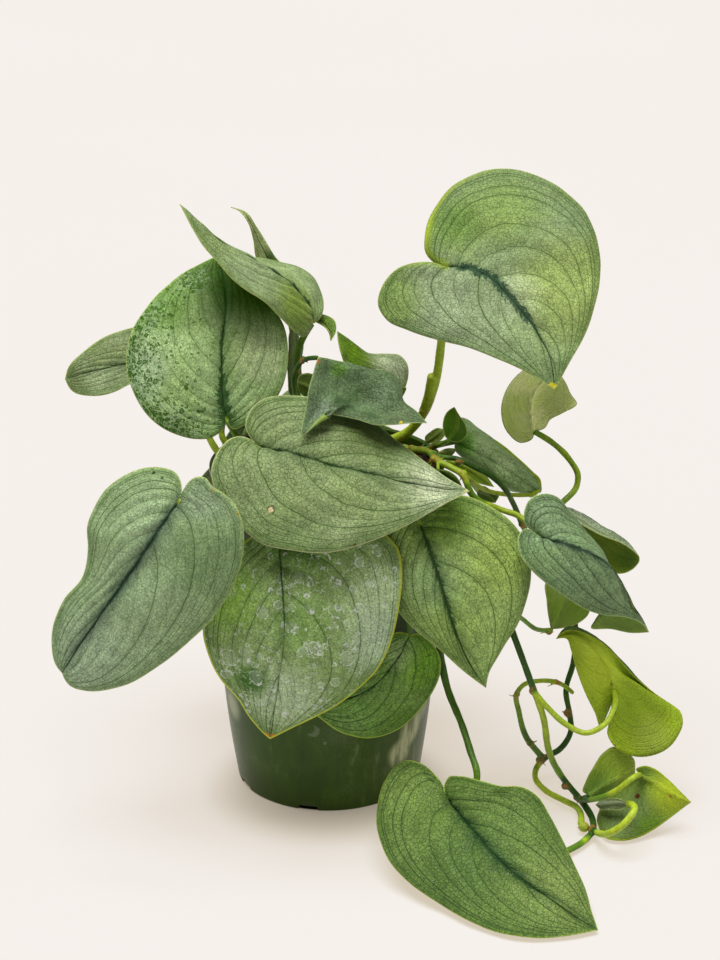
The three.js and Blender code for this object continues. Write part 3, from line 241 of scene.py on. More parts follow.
# The leaves, as in the part. Each blade is a midrib and two margins, from its base to its tip.
# A place is the photo pixel that shows it, then the mm behind the pot's axis, or above the floor for
# the leaves that lie on it. veins, rib and wave scale a blade's relief, camber and advance stand in for
# the values above, seat is the blade's share where its petiole holds it, roll lists (share of the
# margin, how far it rolls over), and shows says which side the viewer sees.
LEAVES = {
    "leaf_top_right": dict(
        midrib=[(444, 267, 5), (462, 269, 4), (482, 273, 0), (512, 300, -8), (536, 330, -17), (549, 356, -27),
                (555, 390, -38)],
        one=[(433, 262, 11), (426, 253, 15), (425, 238, 20), (431, 214, 32), (452, 187, 44), (478, 173, 50),
             (506, 169, 52), (535, 175, 50), (563, 190, 44), (585, 212, 34), (597, 240, 23), (600, 273, 10),
             (595, 305, -4), (584, 337, -16), (570, 362, -28)],
        two=[(434, 264, 7), (418, 262, 6), (398, 268, 3), (383, 284, 0), (378, 305, -4), (388, 321, -8),
             (407, 330, -12), (437, 340, -18), (466, 347, -22), (495, 358, -27), (522, 370, -32),
             (540, 380, -35)],
    ),
    "leaf_top_left": dict(
        camber=0.03,
        midrib=[(313, 324, 4), (311, 308, 4), (300, 293, 2), (282, 277, -2), (254, 259, -8), (231, 247, -13),
                (211, 233, -17), (194, 217, -19), (180, 204, -20)],
        one=[(320, 318, 10), (324, 306, 18), (321, 291, 28), (315, 278, 34), (298, 267, 36), (279, 262, 34),
             (262, 258, 30), (240, 256, 18), (217, 242, 2), (197, 224, -12)],
        two=[(309, 333, 0), (304, 337, -4), (295, 332, -10), (280, 317, -20), (266, 303, -26),
             (249, 292, -30), (233, 279, -32), (216, 261, -32), (202, 244, -30), (189, 222, -25)],
    ),
    "leaf_top_curl": dict(
        midrib=[(285, 285, 54), (267, 257, 52), (257, 238, 50), (250, 223, 49), (242, 211, 48),
                (231, 207, 46)],
        one=[(268, 278, 50), (256, 258, 48), (253, 239, 48), (247, 221, 47), (239, 211, 46)],
        two=[(289, 276, 58), (274, 255, 56), (265, 240, 55), (256, 226, 53), (247, 213, 50)],
    ),
    "leaf_speckled": dict(
        midrib=[(227, 420, -32), (223, 400, -28), (222, 370, -20), (222, 345, -14), (226, 306, -2),
                (224, 280, 8), (216, 256, 18)],
        one=[(222, 430, -35), (213, 437, -37), (195, 439, -38), (172, 433, -38), (151, 419, -36),
             (132, 389, -30), (126, 357, -22), (130, 336, -17), (143, 312, -8), (160, 292, 0), (176, 278, 5),
             (191, 268, 10), (206, 261, 15)],
        two=[(233, 429, -34), (246, 425, -33), (263, 413, -30), (278, 396, -26), (287, 370, -20),
             (288, 348, -14), (283, 324, -6), (270, 304, 2), (249, 281, 10), (230, 264, 16)],
    ),
    "leaf_back_left": dict(
        midrib=[(200, 352, 34), (170, 356, 34), (134, 363, 32), (100, 370, 28), (65, 379, 24)],
        one=[(196, 335, 44), (165, 322, 50), (134, 327, 50), (104, 337, 44), (82, 353, 34), (68, 368, 27)],
        two=[(190, 368, 26), (160, 377, 22), (128, 385, 18), (116, 391, 17), (93, 396, 18), (71, 390, 22)],
    ),
    "leaf_centre": dict(
        midrib=[(256, 445, -58), (270, 449, -62), (289, 453, -66), (325, 463, -71), (374, 475, -74),
                (422, 485, -73), (450, 489, -71), (470, 491, -69)],
        one=[(250, 437, -55), (245, 426, -51), (249, 412, -46), (260, 401, -40), (275, 396, -37),
             (305, 397, -34), (340, 408, -35), (379, 427, -41), (413, 453, -51), (447, 478, -63)],
        two=[(249, 439, -58), (241, 436, -59), (231, 438, -61), (221, 447, -65), (214, 459, -70),
             (211, 473, -77), (219, 497, -86), (236, 521, -93), (260, 543, -99), (289, 550, -102),
             (325, 553, -103), (369, 542, -99), (410, 524, -91), (447, 503, -79)],
    ),
    "leaf_crumpled": dict(
        veins=0.25, rib=0, advance=1, wave=4.2,
        midrib=[(318, 357, -28), (338, 372, -30), (366, 392, -36), (398, 411, -43), (427, 423, -46)],
        one=[(312, 376, -38), (307, 400, -50), (303, 436, -66), (316, 423, -60), (335, 415, -52),
             (356, 419, -54), (377, 426, -58), (401, 424, -54)],
        two=[(331, 359, -24), (344, 362, -22), (363, 367, -18), (388, 371, -14), (399, 377, -16),
             (405, 400, -30), (418, 413, -40)],
    ),
    "leaf_pale_fold": dict(
        rib=0.3, midrib=[(405, 388, 4), (385, 368, 2), (365, 352, 0), (350, 341, -3), (337, 331, -6)],
        one=[(408, 376, 8), (407, 363, 12), (399, 355, 14), (388, 354, 14), (369, 353, 10), (355, 345, 4),
             (345, 337, -1)],
        two=[(392, 386, 0), (368, 378, -6), (347, 368, -12), (341, 354, -11), (338, 341, -8)],
    ),
    "leaf_small_curl": dict(
        midrib=[(308, 316, 20), (322, 322, 16), (330, 332, 12), (331, 341, 8)],
        one=[(319, 314, 21), (334, 320, 18), (336, 331, 12)],
        two=[(314, 321, 17), (324, 327, 13), (330, 334, 10)],
    ),
    "leaf_edge_on": dict(
        midrib=[(296, 402, 22), (297, 372, 24), (296, 345, 26), (294, 318, 26)],
        one=[(289, 392, 12), (288, 365, 8), (289, 340, 12)],
        two=[(300, 390, 32), (301, 360, 38), (299, 335, 34)],
    ),
    "leaf_olive_back": dict(
        shows="under", midrib=[(322, 392, -1), (310, 387, -4), (297, 382, -5)],
        one=[(316, 376, 1), (307, 373, -2), (299, 376, -4)],
        two=[(318, 402, -3), (307, 398, -5), (299, 391, -6)],
    ),
    "leaf_left": dict(
        midrib=[(180, 500, -96), (172, 512, -97), (156, 535, -99), (138, 562, -100), (108, 605, -99),
                (78, 648, -96), (62, 673, -94)],
        one=[(182, 490, -92), (177, 474, -86), (158, 467, -80), (129, 473, -77), (101, 496, -79),
             (88, 524, -83), (88, 547, -86), (82, 578, -89), (64, 600, -90), (54, 622, -91), (52, 648, -92),
             (56, 665, -93)],
        two=[(184, 491, -94), (188, 483, -93), (196, 477, -93), (206, 478, -95), (212, 486, -98),
             (223, 493, -101), (234, 503, -104), (242, 520, -107), (244, 545, -110), (236, 579, -111),
             (213, 618, -110), (190, 641, -107), (161, 664, -104), (122, 686, -100), (87, 691, -97),
             (69, 685, -95)],
    ),
    "leaf_front": dict(
        rib=0.5,
        midrib=[(279, 542, -85), (281, 567, -90), (284, 606, -97), (284, 642, -99), (279, 680, -96),
                (270, 739, -88)],
        one=[(268, 532, -82), (240, 545, -80), (215, 575, -82), (204, 612, -86), (204, 640, -89),
             (211, 662, -90), (222, 681, -90), (239, 701, -89), (252, 721, -88), (262, 732, -88)],
        two=[(292, 530, -82), (330, 526, -80), (372, 527, -79), (398, 548, -80), (402, 574, -84),
             (399, 606, -87), (391, 642, -90), (374, 674, -92), (350, 696, -92), (318, 715, -91),
             (284, 732, -89)],
    ),
    "leaf_front_low": dict(
        midrib=[(410, 634, -68), (396, 660, -72), (370, 688, -75), (335, 702, -76), (296, 700, -75)],
        one=[(400, 632, -70), (376, 640, -73), (350, 658, -75), (322, 680, -75), (306, 692, -75)],
        two=[(420, 634, -66), (431, 642, -64), (439, 654, -63), (441, 671, -63), (432, 692, -65),
             (417, 713, -68), (393, 732, -71), (369, 738, -73), (345, 734, -75), (318, 717, -76)],
    ),
    "leaf_front_right": dict(
        midrib=[(419, 522, -72), (425, 537, -75), (433, 560, -79), (444, 594, -82), (454, 628, -84),
                (470, 664, -85), (486, 688, -86)],
        one=[(411, 515, -73), (396, 520, -73), (384, 540, -74), (381, 570, -76), (388, 598, -78),
             (399, 613, -80), (415, 630, -82), (437, 647, -84), (461, 669, -85), (475, 680, -86)],
        two=[(428, 513, -70), (442, 498, -65), (459, 495, -60), (478, 500, -56), (495, 509, -53),
             (517, 528, -51), (529, 552, -52), (531, 574, -56), (522, 613, -66), (502, 650, -76),
             (489, 672, -82)],
    ),
    "leaf_floor_front": dict(
        midrib=[(446, 797, 38), (456, 810, 36), (471, 828, 33), (503, 864, 24), (544, 895, 14), (578, 919, 6),
                (598, 930, 3)],
        one=[(443, 787, 42), (437, 777, 46), (428, 768, 48), (417, 762, 49), (406, 761, 47), (395, 767, 44),
             (386, 779, 40), (379, 797, 34), (376, 817, 28), (380, 840, 22), (390, 862, 16), (407, 881, 11),
             (438, 903, 6), (471, 922, 4), (503, 934, 3), (534, 938, 3), (566, 936, 3)],
        two=[(444, 786, 43), (449, 777, 47), (460, 776, 49), (481, 781, 51), (503, 786, 52), (522, 787, 51),
             (537, 796, 47), (550, 815, 39), (564, 844, 29), (583, 883, 16), (592, 912, 7)],
    ),
    "leaf_back_right": dict(
        shows="under",
        midrib=[(534, 431, 34), (530, 412, 32), (533, 392, 33), (546, 378, 36), (560, 374, 38)],
        one=[(533, 438, 33), (521, 443, 34), (507, 432, 36), (501, 411, 38), (506, 390, 40), (522, 371, 42),
             (542, 363, 41)],
        two=[(545, 428, 36), (550, 420, 38), (563, 413, 43), (577, 404, 49), (571, 394, 46), (566, 383, 41)],
    ),
    "leaf_rolled": dict(
        veins=0.3, rib=0, camber=0.38,
        midrib=[(458, 441, 12), (470, 448, 6), (490, 459, 4), (512, 473, 4), (530, 486, 6), (541, 492, 10)],
        one=[(457, 431, 18), (459, 418, 24), (467, 419, 28), (478, 427, 30), (494, 440, 30), (514, 456, 26),
             (533, 474, 18), (541, 485, 13)],
        two=[(458, 448, 18), (464, 457, 24), (476, 466, 28), (492, 479, 28), (508, 490, 24), (526, 493, 16)],
    ),
    "leaf_lime_mouth": dict(
        shows="under", midrib=[(448, 440, 0), (454, 431, 2), (457, 419, 5), (454, 407, 8)],
        one=[(444, 434, 0), (443, 423, 2), (447, 412, 6)],
        two=[(458, 442, 2), (467, 435, 4), (466, 426, 6), (461, 418, 8)],
    ),
    "leaf_pale_small": dict(
        shows="under", midrib=[(426, 443, 24), (434, 437, 26), (443, 429, 28)],
        one=[(425, 437, 26), (430, 432, 27), (437, 428, 28)],
        two=[(433, 443, 23), (441, 440, 24), (445, 434, 26)],
    ),
    "leaf_olive_low": dict(
        shows="under", midrib=[(437, 453, 4), (447, 451, 5), (457, 449, 6)],
        one=[(442, 450, 5), (450, 448, 6)], two=[(442, 457, 4), (451, 456, 5)],
    ),
    "leaf_young": dict(
        shows="under", midrib=[(443, 463, -7), (457, 464, -5), (474, 472, -4), (494, 487, -4)],
        one=[(448, 459, -5), (462, 461, -2), (482, 471, -2)],
        two=[(450, 467, -8), (464, 476, -8), (481, 484, -6)],
    ),
    "leaf_olive_front": dict(
        midrib=[(438, 470, -29), (449, 478, -29), (462, 486, -29)], one=[(446, 470, -29), (457, 477, -29)],
        two=[(439, 477, -29), (448, 486, -29)],
    ),
    "leaf_olive_under": dict(
        shows="under", midrib=[(476, 491, -11), (483, 493, -6), (491, 498, -1), (495, 503, 0)],
        one=[(481, 487, -8), (491, 490, 1), (499, 495, 3)], two=[(478, 496, -11), (485, 501, -6)],
    ),
    "leaf_right": dict(
        camber=0.04,
        midrib=[(538, 536, -56), (551, 541, -62), (571, 546, -66), (592, 554, -66), (611, 566, -63),
                (626, 588, -58), (639, 612, -54), (649, 632, -51)],
        one=[(533, 532, -55), (526, 526, -53), (524, 513, -50), (529, 500, -47), (543, 494, -43),
             (557, 497, -40), (571, 512, -37), (587, 531, -36), (600, 549, -37), (609, 566, -40),
             (609, 590, -43), (602, 612, -46), (591, 628, -50), (610, 629, -50), (632, 633, -50)],
        two=[(532, 531, -58), (524, 529, -61), (518, 537, -65), (518, 548, -69), (524, 561, -73),
             (534, 573, -75), (547, 584, -76), (564, 596, -75), (583, 608, -72), (602, 615, -68),
             (628, 618, -61), (642, 624, -55)],
    ),
    "leaf_right_back": dict(
        camber=0.03, shows="under",
        midrib=[(556, 506, -6), (583, 513, -6), (608, 528, -8), (627, 542, -10), (639, 556, -10)],
        one=[(566, 516, -12), (580, 524, -16), (602, 536, -17), (621, 543, -15), (632, 550, -12)],
        two=[(566, 522, 0), (580, 545, 4), (600, 568, 4), (620, 573, 2), (633, 569, -2), (639, 562, -6)],
    ),
    "leaf_right_low": dict(
        shows="under", midrib=[(551, 629, -16), (560, 613, -13), (566, 596, -9), (570, 576, -4)],
        one=[(549, 618, -17), (547, 600, -16), (545, 585, -12), (554, 572, -6)],
        two=[(563, 628, -13), (577, 624, -9), (589, 613, -4), (590, 598, 0), (582, 580, 0)],
    ),
    "leaf_lime_hanging": dict(
        veins=0.35, seat=0.5,
        roll=[(0.53, 0), (0.62, 1), (0.7, 0.9), (0.77, 0.5), (0.84, 0.45), (0.92, 0.8), (0.97, 0.5), (1, 0)],
        shows="under",
        midrib=[(613, 690, -46), (611, 678, -48), (602, 660, -49), (588, 645, -48), (572, 636, -46),
                (556, 639, -44)],
        one=[(614, 704, -46), (610, 720, -50), (607, 733, -57), (613, 745, -61), (626, 754, -62),
             (644, 757, -60), (662, 752, -57), (676, 739, -48), (683, 722, -43), (681, 712, -40),
             (669, 703, -38), (650, 691, -37), (635, 679, -37), (621, 662, -38), (606, 646, -40),
             (586, 633, -42), (568, 628, -43)],
        two=[(610, 702, -44), (606, 717, -46), (601, 726, -49), (595, 713, -52), (585, 692, -53),
             (577, 671, -52), (571, 650, -49), (567, 639, -47)],
    ),
    "leaf_floor_right": dict(
        shows="under",
        midrib=[(640, 774, 34), (652, 781, 31), (664, 789, 28), (678, 797, 24), (691, 802, 20)],
        one=[(636, 770, 36), (644, 766, 40), (655, 769, 38), (668, 779, 33), (682, 793, 26)],
        two=[(631, 780, 28), (616, 791, 18), (603, 802, 9.5), (598, 814, 5), (598, 826, 3.5), (608, 839, 3),
             (622, 841, 2.5), (637, 838, 3), (655, 829, 6), (675, 814, 13)],
    ),
    "leaf_floor_back": dict(
        shows="under", midrib=[(589, 795, 15), (602, 787, 20), (619, 776, 26), (635, 766, 30)],
        one=[(583, 792, 17), (586, 781, 24), (593, 767, 33), (603, 754, 41), (613, 747, 44), (624, 750, 42),
             (634, 759, 36)],
        two=[(598, 799, 11), (612, 796, 12), (625, 788, 17), (634, 777, 23)],
    ),
    "leaf_floor_small": dict(
        shows="under", midrib=[(630, 804, 23), (617, 803, 20), (606, 804, 16), (596, 805, 12)],
        one=[(622, 809, 19), (607, 810, 14), (600, 809, 11)],
        two=[(622, 800, 23), (608, 798, 19), (600, 800, 14.5)],
    ),
}

for name, spec in LEAVES.items():
    read = low if name.startswith("leaf_floor") else at
    for line in ("midrib", "one", "two"):
        spec[line] = [read(*numbers) for numbers in spec[line]]

# The leaves that the photograph hides
LEAVES.update({
    "leaf_hidden_back": heart(V(-30, 84, 188), V(-36, 98, 84), V(-0.1, 1, 0.25), 76, 8),
    "leaf_hidden_back_left": heart(V(-52, 64, 178), V(-82, 90, 92), V(-0.6, 1, 0.4), 60, 6),
    "leaf_hidden_back_right": heart(V(20, 84, 186), V(58, 102, 94), V(0.4, 1, 0.3), 70, 8),
    "leaf_hidden_high": heart(V(-52, 46, 234), V(-68, 72, 296), V(-0.2, 1, -0.3), 58, 5),
    "leaf_hidden_middle": heart(V(0, 58, 214), V(-6, 116, 212), V(0, 0.1, 1), 60, 6),
})


def foot(x, y, top, r=3):
    """The part of a stem that stands in the soil: its places, then its radius below and above."""
    return [[V(x, y, SOIL_TOP - HOLE_DEPTH), V(x, y, top)], r, r * 0.9]


# The leafy stems. A path is [radius at its start, radius at its end, the leaf it carries if any, places].
STEMS = {
    "stem_left": dict(
        foot=foot(-36, 4, 205),
        paths=[
            [2.3, 2, "leaf_speckled", V(-36, 4, 202), at(252, 449, -14), at(239, 438, -24)],
            [2.3, 1.8, "leaf_back_left", V(-36, 4, 200), at(236, 468, -8), at(221, 456, 2), at(212, 443, 8),
             at(201, 412, 18), at(196, 380, 30)],
            [2.1, 1.8, "leaf_hidden_high", V(-36, 4, 201), at(246, 462, 2), at(231, 449, 8), at(222, 436, 12),
             at(224, 420, 18), at(240, 402, 26)],
            [2.4, 2, "leaf_left", V(-36, 4, 203), V(-42, -8, 212), V(-48, -44, 209), V(-62, -68, 210)],
        ],
    ),
    "stem_centre": dict(
        foot=foot(-6, -18, 205),
        paths=[
            [2.4, 2.2, "leaf_centre", V(-6, -18, 202), V(-18, -32, 212), V(-32, -44, 224)],
            [2.4, 2, "leaf_front", V(-6, -18, 199), V(-12, -40, 206), V(-18, -62, 207), V(-22, -75, 203)],
            [2, 1.4, "leaf_crumpled", V(-6, -18, 203), V(-12, -12, 220), at(297, 402, -10), at(294, 376, -10),
             at(301, 362, -16)],
            [1.4, 1.2, "leaf_olive_back", V(-12, -12, 220), at(318, 412, -4)],
        ],
    ),
    "stem_back": dict(
        foot=foot(2, 26, 206),
        paths=[
            [2.4, 2, "leaf_top_left", V(2, 26, 203), V(-10, 14, 218), at(298, 400, 4), at(296, 370, 1),
             at(300, 345, 2)],
            [1.4, 1.1, "leaf_small_curl", at(296, 371, 1), at(301, 352, 6), at(303, 330, 15)],
            [1.6, 1.3, "leaf_edge_on", V(2, 26, 205), at(293, 415, 24)],
            [2, 1.4, "leaf_top_curl", V(2, 26, 205), at(297, 400, 40), at(294, 350, 50)],
            [2, 1.6, "leaf_pale_fold", V(2, 26, 204), at(372, 410, 18), at(396, 400, 12)],
            [2.2, 2, "leaf_hidden_back", V(2, 26, 200), V(-12, 52, 206), V(-20, 67, 207), V(-27, 78, 200)],
            [2.2, 2, "leaf_hidden_back_right", V(2, 26, 200), V(8, 52, 206), V(13, 69, 207), V(18, 79, 200)],
            [2.2, 1.8, "leaf_hidden_middle", V(2, 26, 203), V(2, 42, 211)],
        ],
    ),
    "stem_back_left": dict(
        foot=foot(-32, 36, 205),
        paths=[
            [2.2, 2, "leaf_hidden_back_left", V(-32, 36, 200), V(-38, 48, 206), V(-44, 56, 207),
             V(-50, 63, 198)],
        ],
    ),
    "stem_tall": dict(
        foot=foot(34, 34, 205, 3.2),
        paths=[
            [3.1, 2.4, "leaf_top_right", V(34, 34, 202), at(400, 437, 32), at(424, 412, 24), at(434, 387, 18),
             at(441, 345, 12), at(444, 305, 14)],
            [2.6, 3.4, None, at(424, 410, 23), at(430, 390, 18), at(433, 376, 15)],
        ],
    ),
    "stem_right": dict(
        foot=foot(26, -22, 205),
        paths=[
            [2.4, 2.2, "leaf_front_right", V(26, -22, 202), V(36, -38, 208), V(48, -56, 208)],
            [2.4, 2, "leaf_front_low", V(26, -22, 199), V(30, -42, 206), V(36, -62, 207), V(42, -66, 184)],
            [2.6, 2, "leaf_floor_front", V(26, -22, 201), V(42, -34, 208), V(57, -46, 208), at(424, 560, -50),
             at(438, 640, -50), at(448, 690, -56), at(462, 725, -68), at(470, 750, -80), at(477, 778, -93),
             at(468, 800, -96)],
        ],
    ),
    "vine_front": dict(
        foot=foot(46, -4, 205),
        paths=[
            [2, 2, None, V(46, -4, 202), V(55, -24, 208), V(62, -37, 207), V(73, -45, 197), at(500, 600, -54),
             at(514, 636, -60), at(533, 688, -66), at(543, 716, -68), at(549, 751, -66), at(565, 781, -58),
             low(583, 803, 9), low(592, 818, 5.5), low(592, 832, 4.5), low(584, 841, 4), low(569, 850, 4),
             low(545, 858, 4)],
            [1.5, 1.4, "leaf_right_low", at(500, 600, -54), at(510, 612, -48), at(521, 618, -40),
             at(536, 629, -30)],
            [1.8, 1.65, "leaf_lime_hanging", at(533, 690, -66), at(548, 708, -70), at(567, 725, -75),
             at(586, 733, -78), at(604, 725, -76), at(614, 708, -66)],
            [2, 2.3, "leaf_floor_small", low(592, 829, 5), low(601, 834, 9), low(612, 832, 16),
             low(624, 824, 22), low(633, 813, 27)],
            [1.7, 1.7, "leaf_floor_right", low(580, 800, 10), low(589, 800, 17), low(602, 797, 25),
             low(617, 790, 33), low(630, 780, 40)],
            [1.6, 1.4, "leaf_floor_back", low(580, 800, 10), low(583, 798, 13)],
        ],
    ),
    "vine_back": dict(
        foot=foot(46, 18, 205),
        paths=[
            [1.6, 2, None, V(46, 18, 202), V(56, 8, 207), at(441, 457, -8), at(458, 459, -11),
             at(474, 467, -13), at(491, 476, -14), at(504, 488, -13), at(513, 503, -8), at(522, 524, -2),
             at(538, 552, 6), at(557, 584, 8), at(573, 612, 6), at(576, 635, 4), at(573, 664, 2),
             at(566, 690, -4), at(570, 716, -10), at(571, 730, -13), at(560, 749, -15), at(545, 758, -16),
             low(537, 767, 8), low(535, 775, 6), low(545, 790, 4.5), low(563, 800, 4.5), low(575, 806, 4.5),
             low(581, 824, 5)],
            [2.1, 1.3, None, at(543, 758, -16), at(536, 750, -18), at(528, 740, -20), at(519, 712, -24),
             at(517, 693, -27), at(525, 684, -29), at(538, 681, -30), at(556, 682, -29), at(573, 693, -26)],
            [2.2, 1.7, "leaf_right", V(52, 12, 205), V(60, 0, 208), at(438, 461, -15), at(452, 468, -21),
             at(463, 475, -25), at(467, 484, -27), at(471, 493, -28), at(479, 501, -28), at(491, 506, -27),
             at(505, 511, -28), at(517, 515, -32), at(527, 522, -38)],
            [1.6, 1.3, None, at(463, 475, -25), at(469, 479, -21), at(478, 486, -15), at(492, 492, -6),
             at(503, 494, -2), at(515, 495, 1), at(531, 495, 3)],
            [1.3, 1, "leaf_young", V(60, 0, 208)], [1.3, 1, "leaf_olive_front", at(438, 461, -15)],
            [1.3, 1, "leaf_olive_under", at(469, 479, -21)], [1.3, 1, "leaf_olive_low", V(56, 8, 207)],
            [1.7, 1.5, "leaf_right_back", at(522, 524, -2), at(540, 518, 4)],
            [2, 1.9, "leaf_back_right", at(522, 524, -2), at(545, 517, 8), at(563, 502, 16), at(577, 485, 24),
             at(578, 476, 26), at(569, 459, 30), at(554, 444, 32)],
            [2.1, 2, "leaf_rolled", V(50, 14, 205), at(417, 452, 16), at(434, 446, 18)],
            [1.3, 1, "leaf_pale_small", at(417, 452, 16), at(421, 449, 20)],
            [1.6, 1.3, "leaf_lime_mouth", at(434, 446, 18), at(441, 444, 8)],
        ],
    ),
}


def blade_surface(spec):
    """The middle surface of a blade. t runs from the petiole to the tip,
    s from one margin (-1) over the midrib (0) to the other margin (1)."""
    base = spec["midrib"][0]
    tip = spec["midrib"][-1]
    midrib = curve_through(spec["midrib"])
    one = curve_through([base, *spec["one"], tip])
    two = curve_through([base, *spec["two"], tip])
    advance = spec.get("advance", MIDRIB_ADVANCE)
    lift = spec.get("camber", CAMBER) * 4

    def row_normal(t):
        m = np.clip(t, 0.04, 0.96)
        along = midrib(m**advance + 0.03) - midrib(m**advance - 0.03)
        return unit(np.cross(two(m) - one(m), along))

    to_viewer = CAMERA_MM - midrib(0.5)[0]
    faces_viewer = np.dot(row_normal(np.array([0.5]))[0], to_viewer) > 0
    sign = 1 if faces_viewer == (spec.get("shows") != "under") else -1

    def normal(t):
        return sign * row_normal(t)

    def place(t, s):
        spine = midrib(t**advance)[:, None, :]
        edge = np.where(s[None, :, None] < 0, one(t)[:, None, :], two(t)[:, None, :])
        r = np.abs(s)[None, :, None]
        width = np.linalg.norm(edge - spine, axis=2, keepdims=True)
        return spine + (edge - spine) * r + normal(t)[:, None, :] * (lift * width * r * (1 - r))

    return place, normal, midrib


# Each blade's surface points, worked out once
BLADE_POINTS = {}


def on_blade(name, px, py):
    """The place of a blade's surface that photo pixel (px, py) shows, or the nearest to that pixel."""
    if name not in BLADE_POINTS:
        place = blade_surface(LEAVES[name])[0]
        BLADE_POINTS[name] = place(np.linspace(0.01, 0.99, 150), np.linspace(-0.98, 0.98, 99)).reshape(-1, 3)
    points = BLADE_POINTS[name]
    sight = unit(ray(px, py))
    reach = (points - CAMERA_MM) @ sight
    gap = np.linalg.norm(points - CAMERA_MM - reach[:, None] * sight, axis=1)
    return points[np.where(gap < gap.min() + 1.0, reach, np.inf).argmin()]


def distance_to_line(points, line):
    """Each point's distance to a polyline, and the share of the polyline where it is nearest."""
    a = line[:-1]
    d = line[1:] - a
    length2 = np.maximum((d * d).sum(1), 1e-9)
    rel = points[:, None, :] - a[None]
    u = np.clip((rel * d[None]).sum(2) / length2[None], 0, 1)
    gap = np.linalg.norm(rel - u[..., None] * d[None], axis=2)
    k = gap.argmin(1)
    rows = np.arange(len(points))
    return gap[rows, k], (k + u[rows, k]) / len(a)


def swell(points, wavelength, seed):
    """A smooth wave field through space, about -1 to 1: a sum of sines in seeded directions."""
    rng = np.random.default_rng(seed)
    total = np.zeros(points.shape[:-1])
    for _ in range(6):
        direction = unit(rng.normal(size=3)) * 2 * math.pi / (wavelength * rng.uniform(0.75, 1.35))
        total += np.sin(points @ direction + rng.uniform(0, 2 * math.pi))
    return total / 3.2


def mesh_from(name, points_mm, faces):
    """A mesh in metres whose faces look outward."""
    mesh = bpy.data.meshes.new(name)
    mesh.from_pydata((np.asarray(points_mm) * MM).tolist(), [], faces)
    work = bmesh.new()
    work.from_mesh(mesh)
    bmesh.ops.recalc_face_normals(work, faces=work.faces)
    work.to_mesh(mesh)
    work.free()
    return mesh


def add_piece(name, mesh, material, nodes=()):
    """Puts a mesh in the scene as a piece of the object, nowhere below the floor."""
    places = np.empty(3 * len(mesh.vertices), np.float32)
    mesh.vertices.foreach_get("co", places)
    places[2::3] = np.maximum(places[2::3], 0)
    mesh.vertices.foreach_set("co", places)
    mesh.materials.clear()
    mesh.materials.append(material)
    mesh.polygons.foreach_set("use_smooth", [True] * len(mesh.polygons))
    piece = linked(name, mesh)
    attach(piece, "root")
    if nodes:
        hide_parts(*nodes)
    return piece


def applied(helper, name):
    """The helper's mesh with its modifiers applied. The helper itself goes."""
    evaluated = helper.evaluated_get(bpy.context.evaluated_depsgraph_get())
    mesh = bpy.data.meshes.new_from_object(evaluated)
    mesh.name = name
    bpy.data.objects.remove(helper)
    return mesh


def write_attribute(mesh, name, values):
    """Gives each vertex of the mesh a number that its material reads."""
    layer = mesh.attributes.new(name, "FLOAT", "POINT")
    layer.data.foreach_set("value", np.asarray(values, np.float32).ravel())


def roll_over(p, t, s, top, roll):
    """Turns the margin of the first side over towards the underside, by a share that varies along it."""
    share = np.interp(t, [place for place, _ in roll], [value for _, value in roll])
    side = np.flatnonzero(s <= 0)[::-1]
    rolled = p.copy()
    for i in range(1, len(t) - 1):
        row = p[i, side]
        arc = np.concatenate([[0], np.cumsum(np.linalg.norm(np.diff(row, axis=0), axis=1))])
        radius = max(ROLL_R * share[i], 1e-6)
        turn = arc[-1] - radius
        total = turn + math.pi * radius + ROLL_FLAP * share[i]
        run = -s[side] * total
        angle = np.clip((run - turn) / radius, 0, math.pi)
        beyond = np.maximum(run - turn - math.pi * radius, 0)
        x = np.minimum(run, turn) + radius * np.sin(angle) - beyond
        below = radius * (1 - np.cos(angle))
        flat = np.stack([np.interp(x, arc, row[:, k]) for k in range(3)], axis=1)
        rolled[i, side] = flat - top[i] * below[:, None]
    return rolled


def vein_distance(w, slope):
    """Distance in mm to the nearest lateral vein, from the vein coordinate and its slope per mm."""
    phase = w / VEIN_SPACING
    return np.abs(phase - np.floor(phase + 0.5)) * VEIN_SPACING / slope


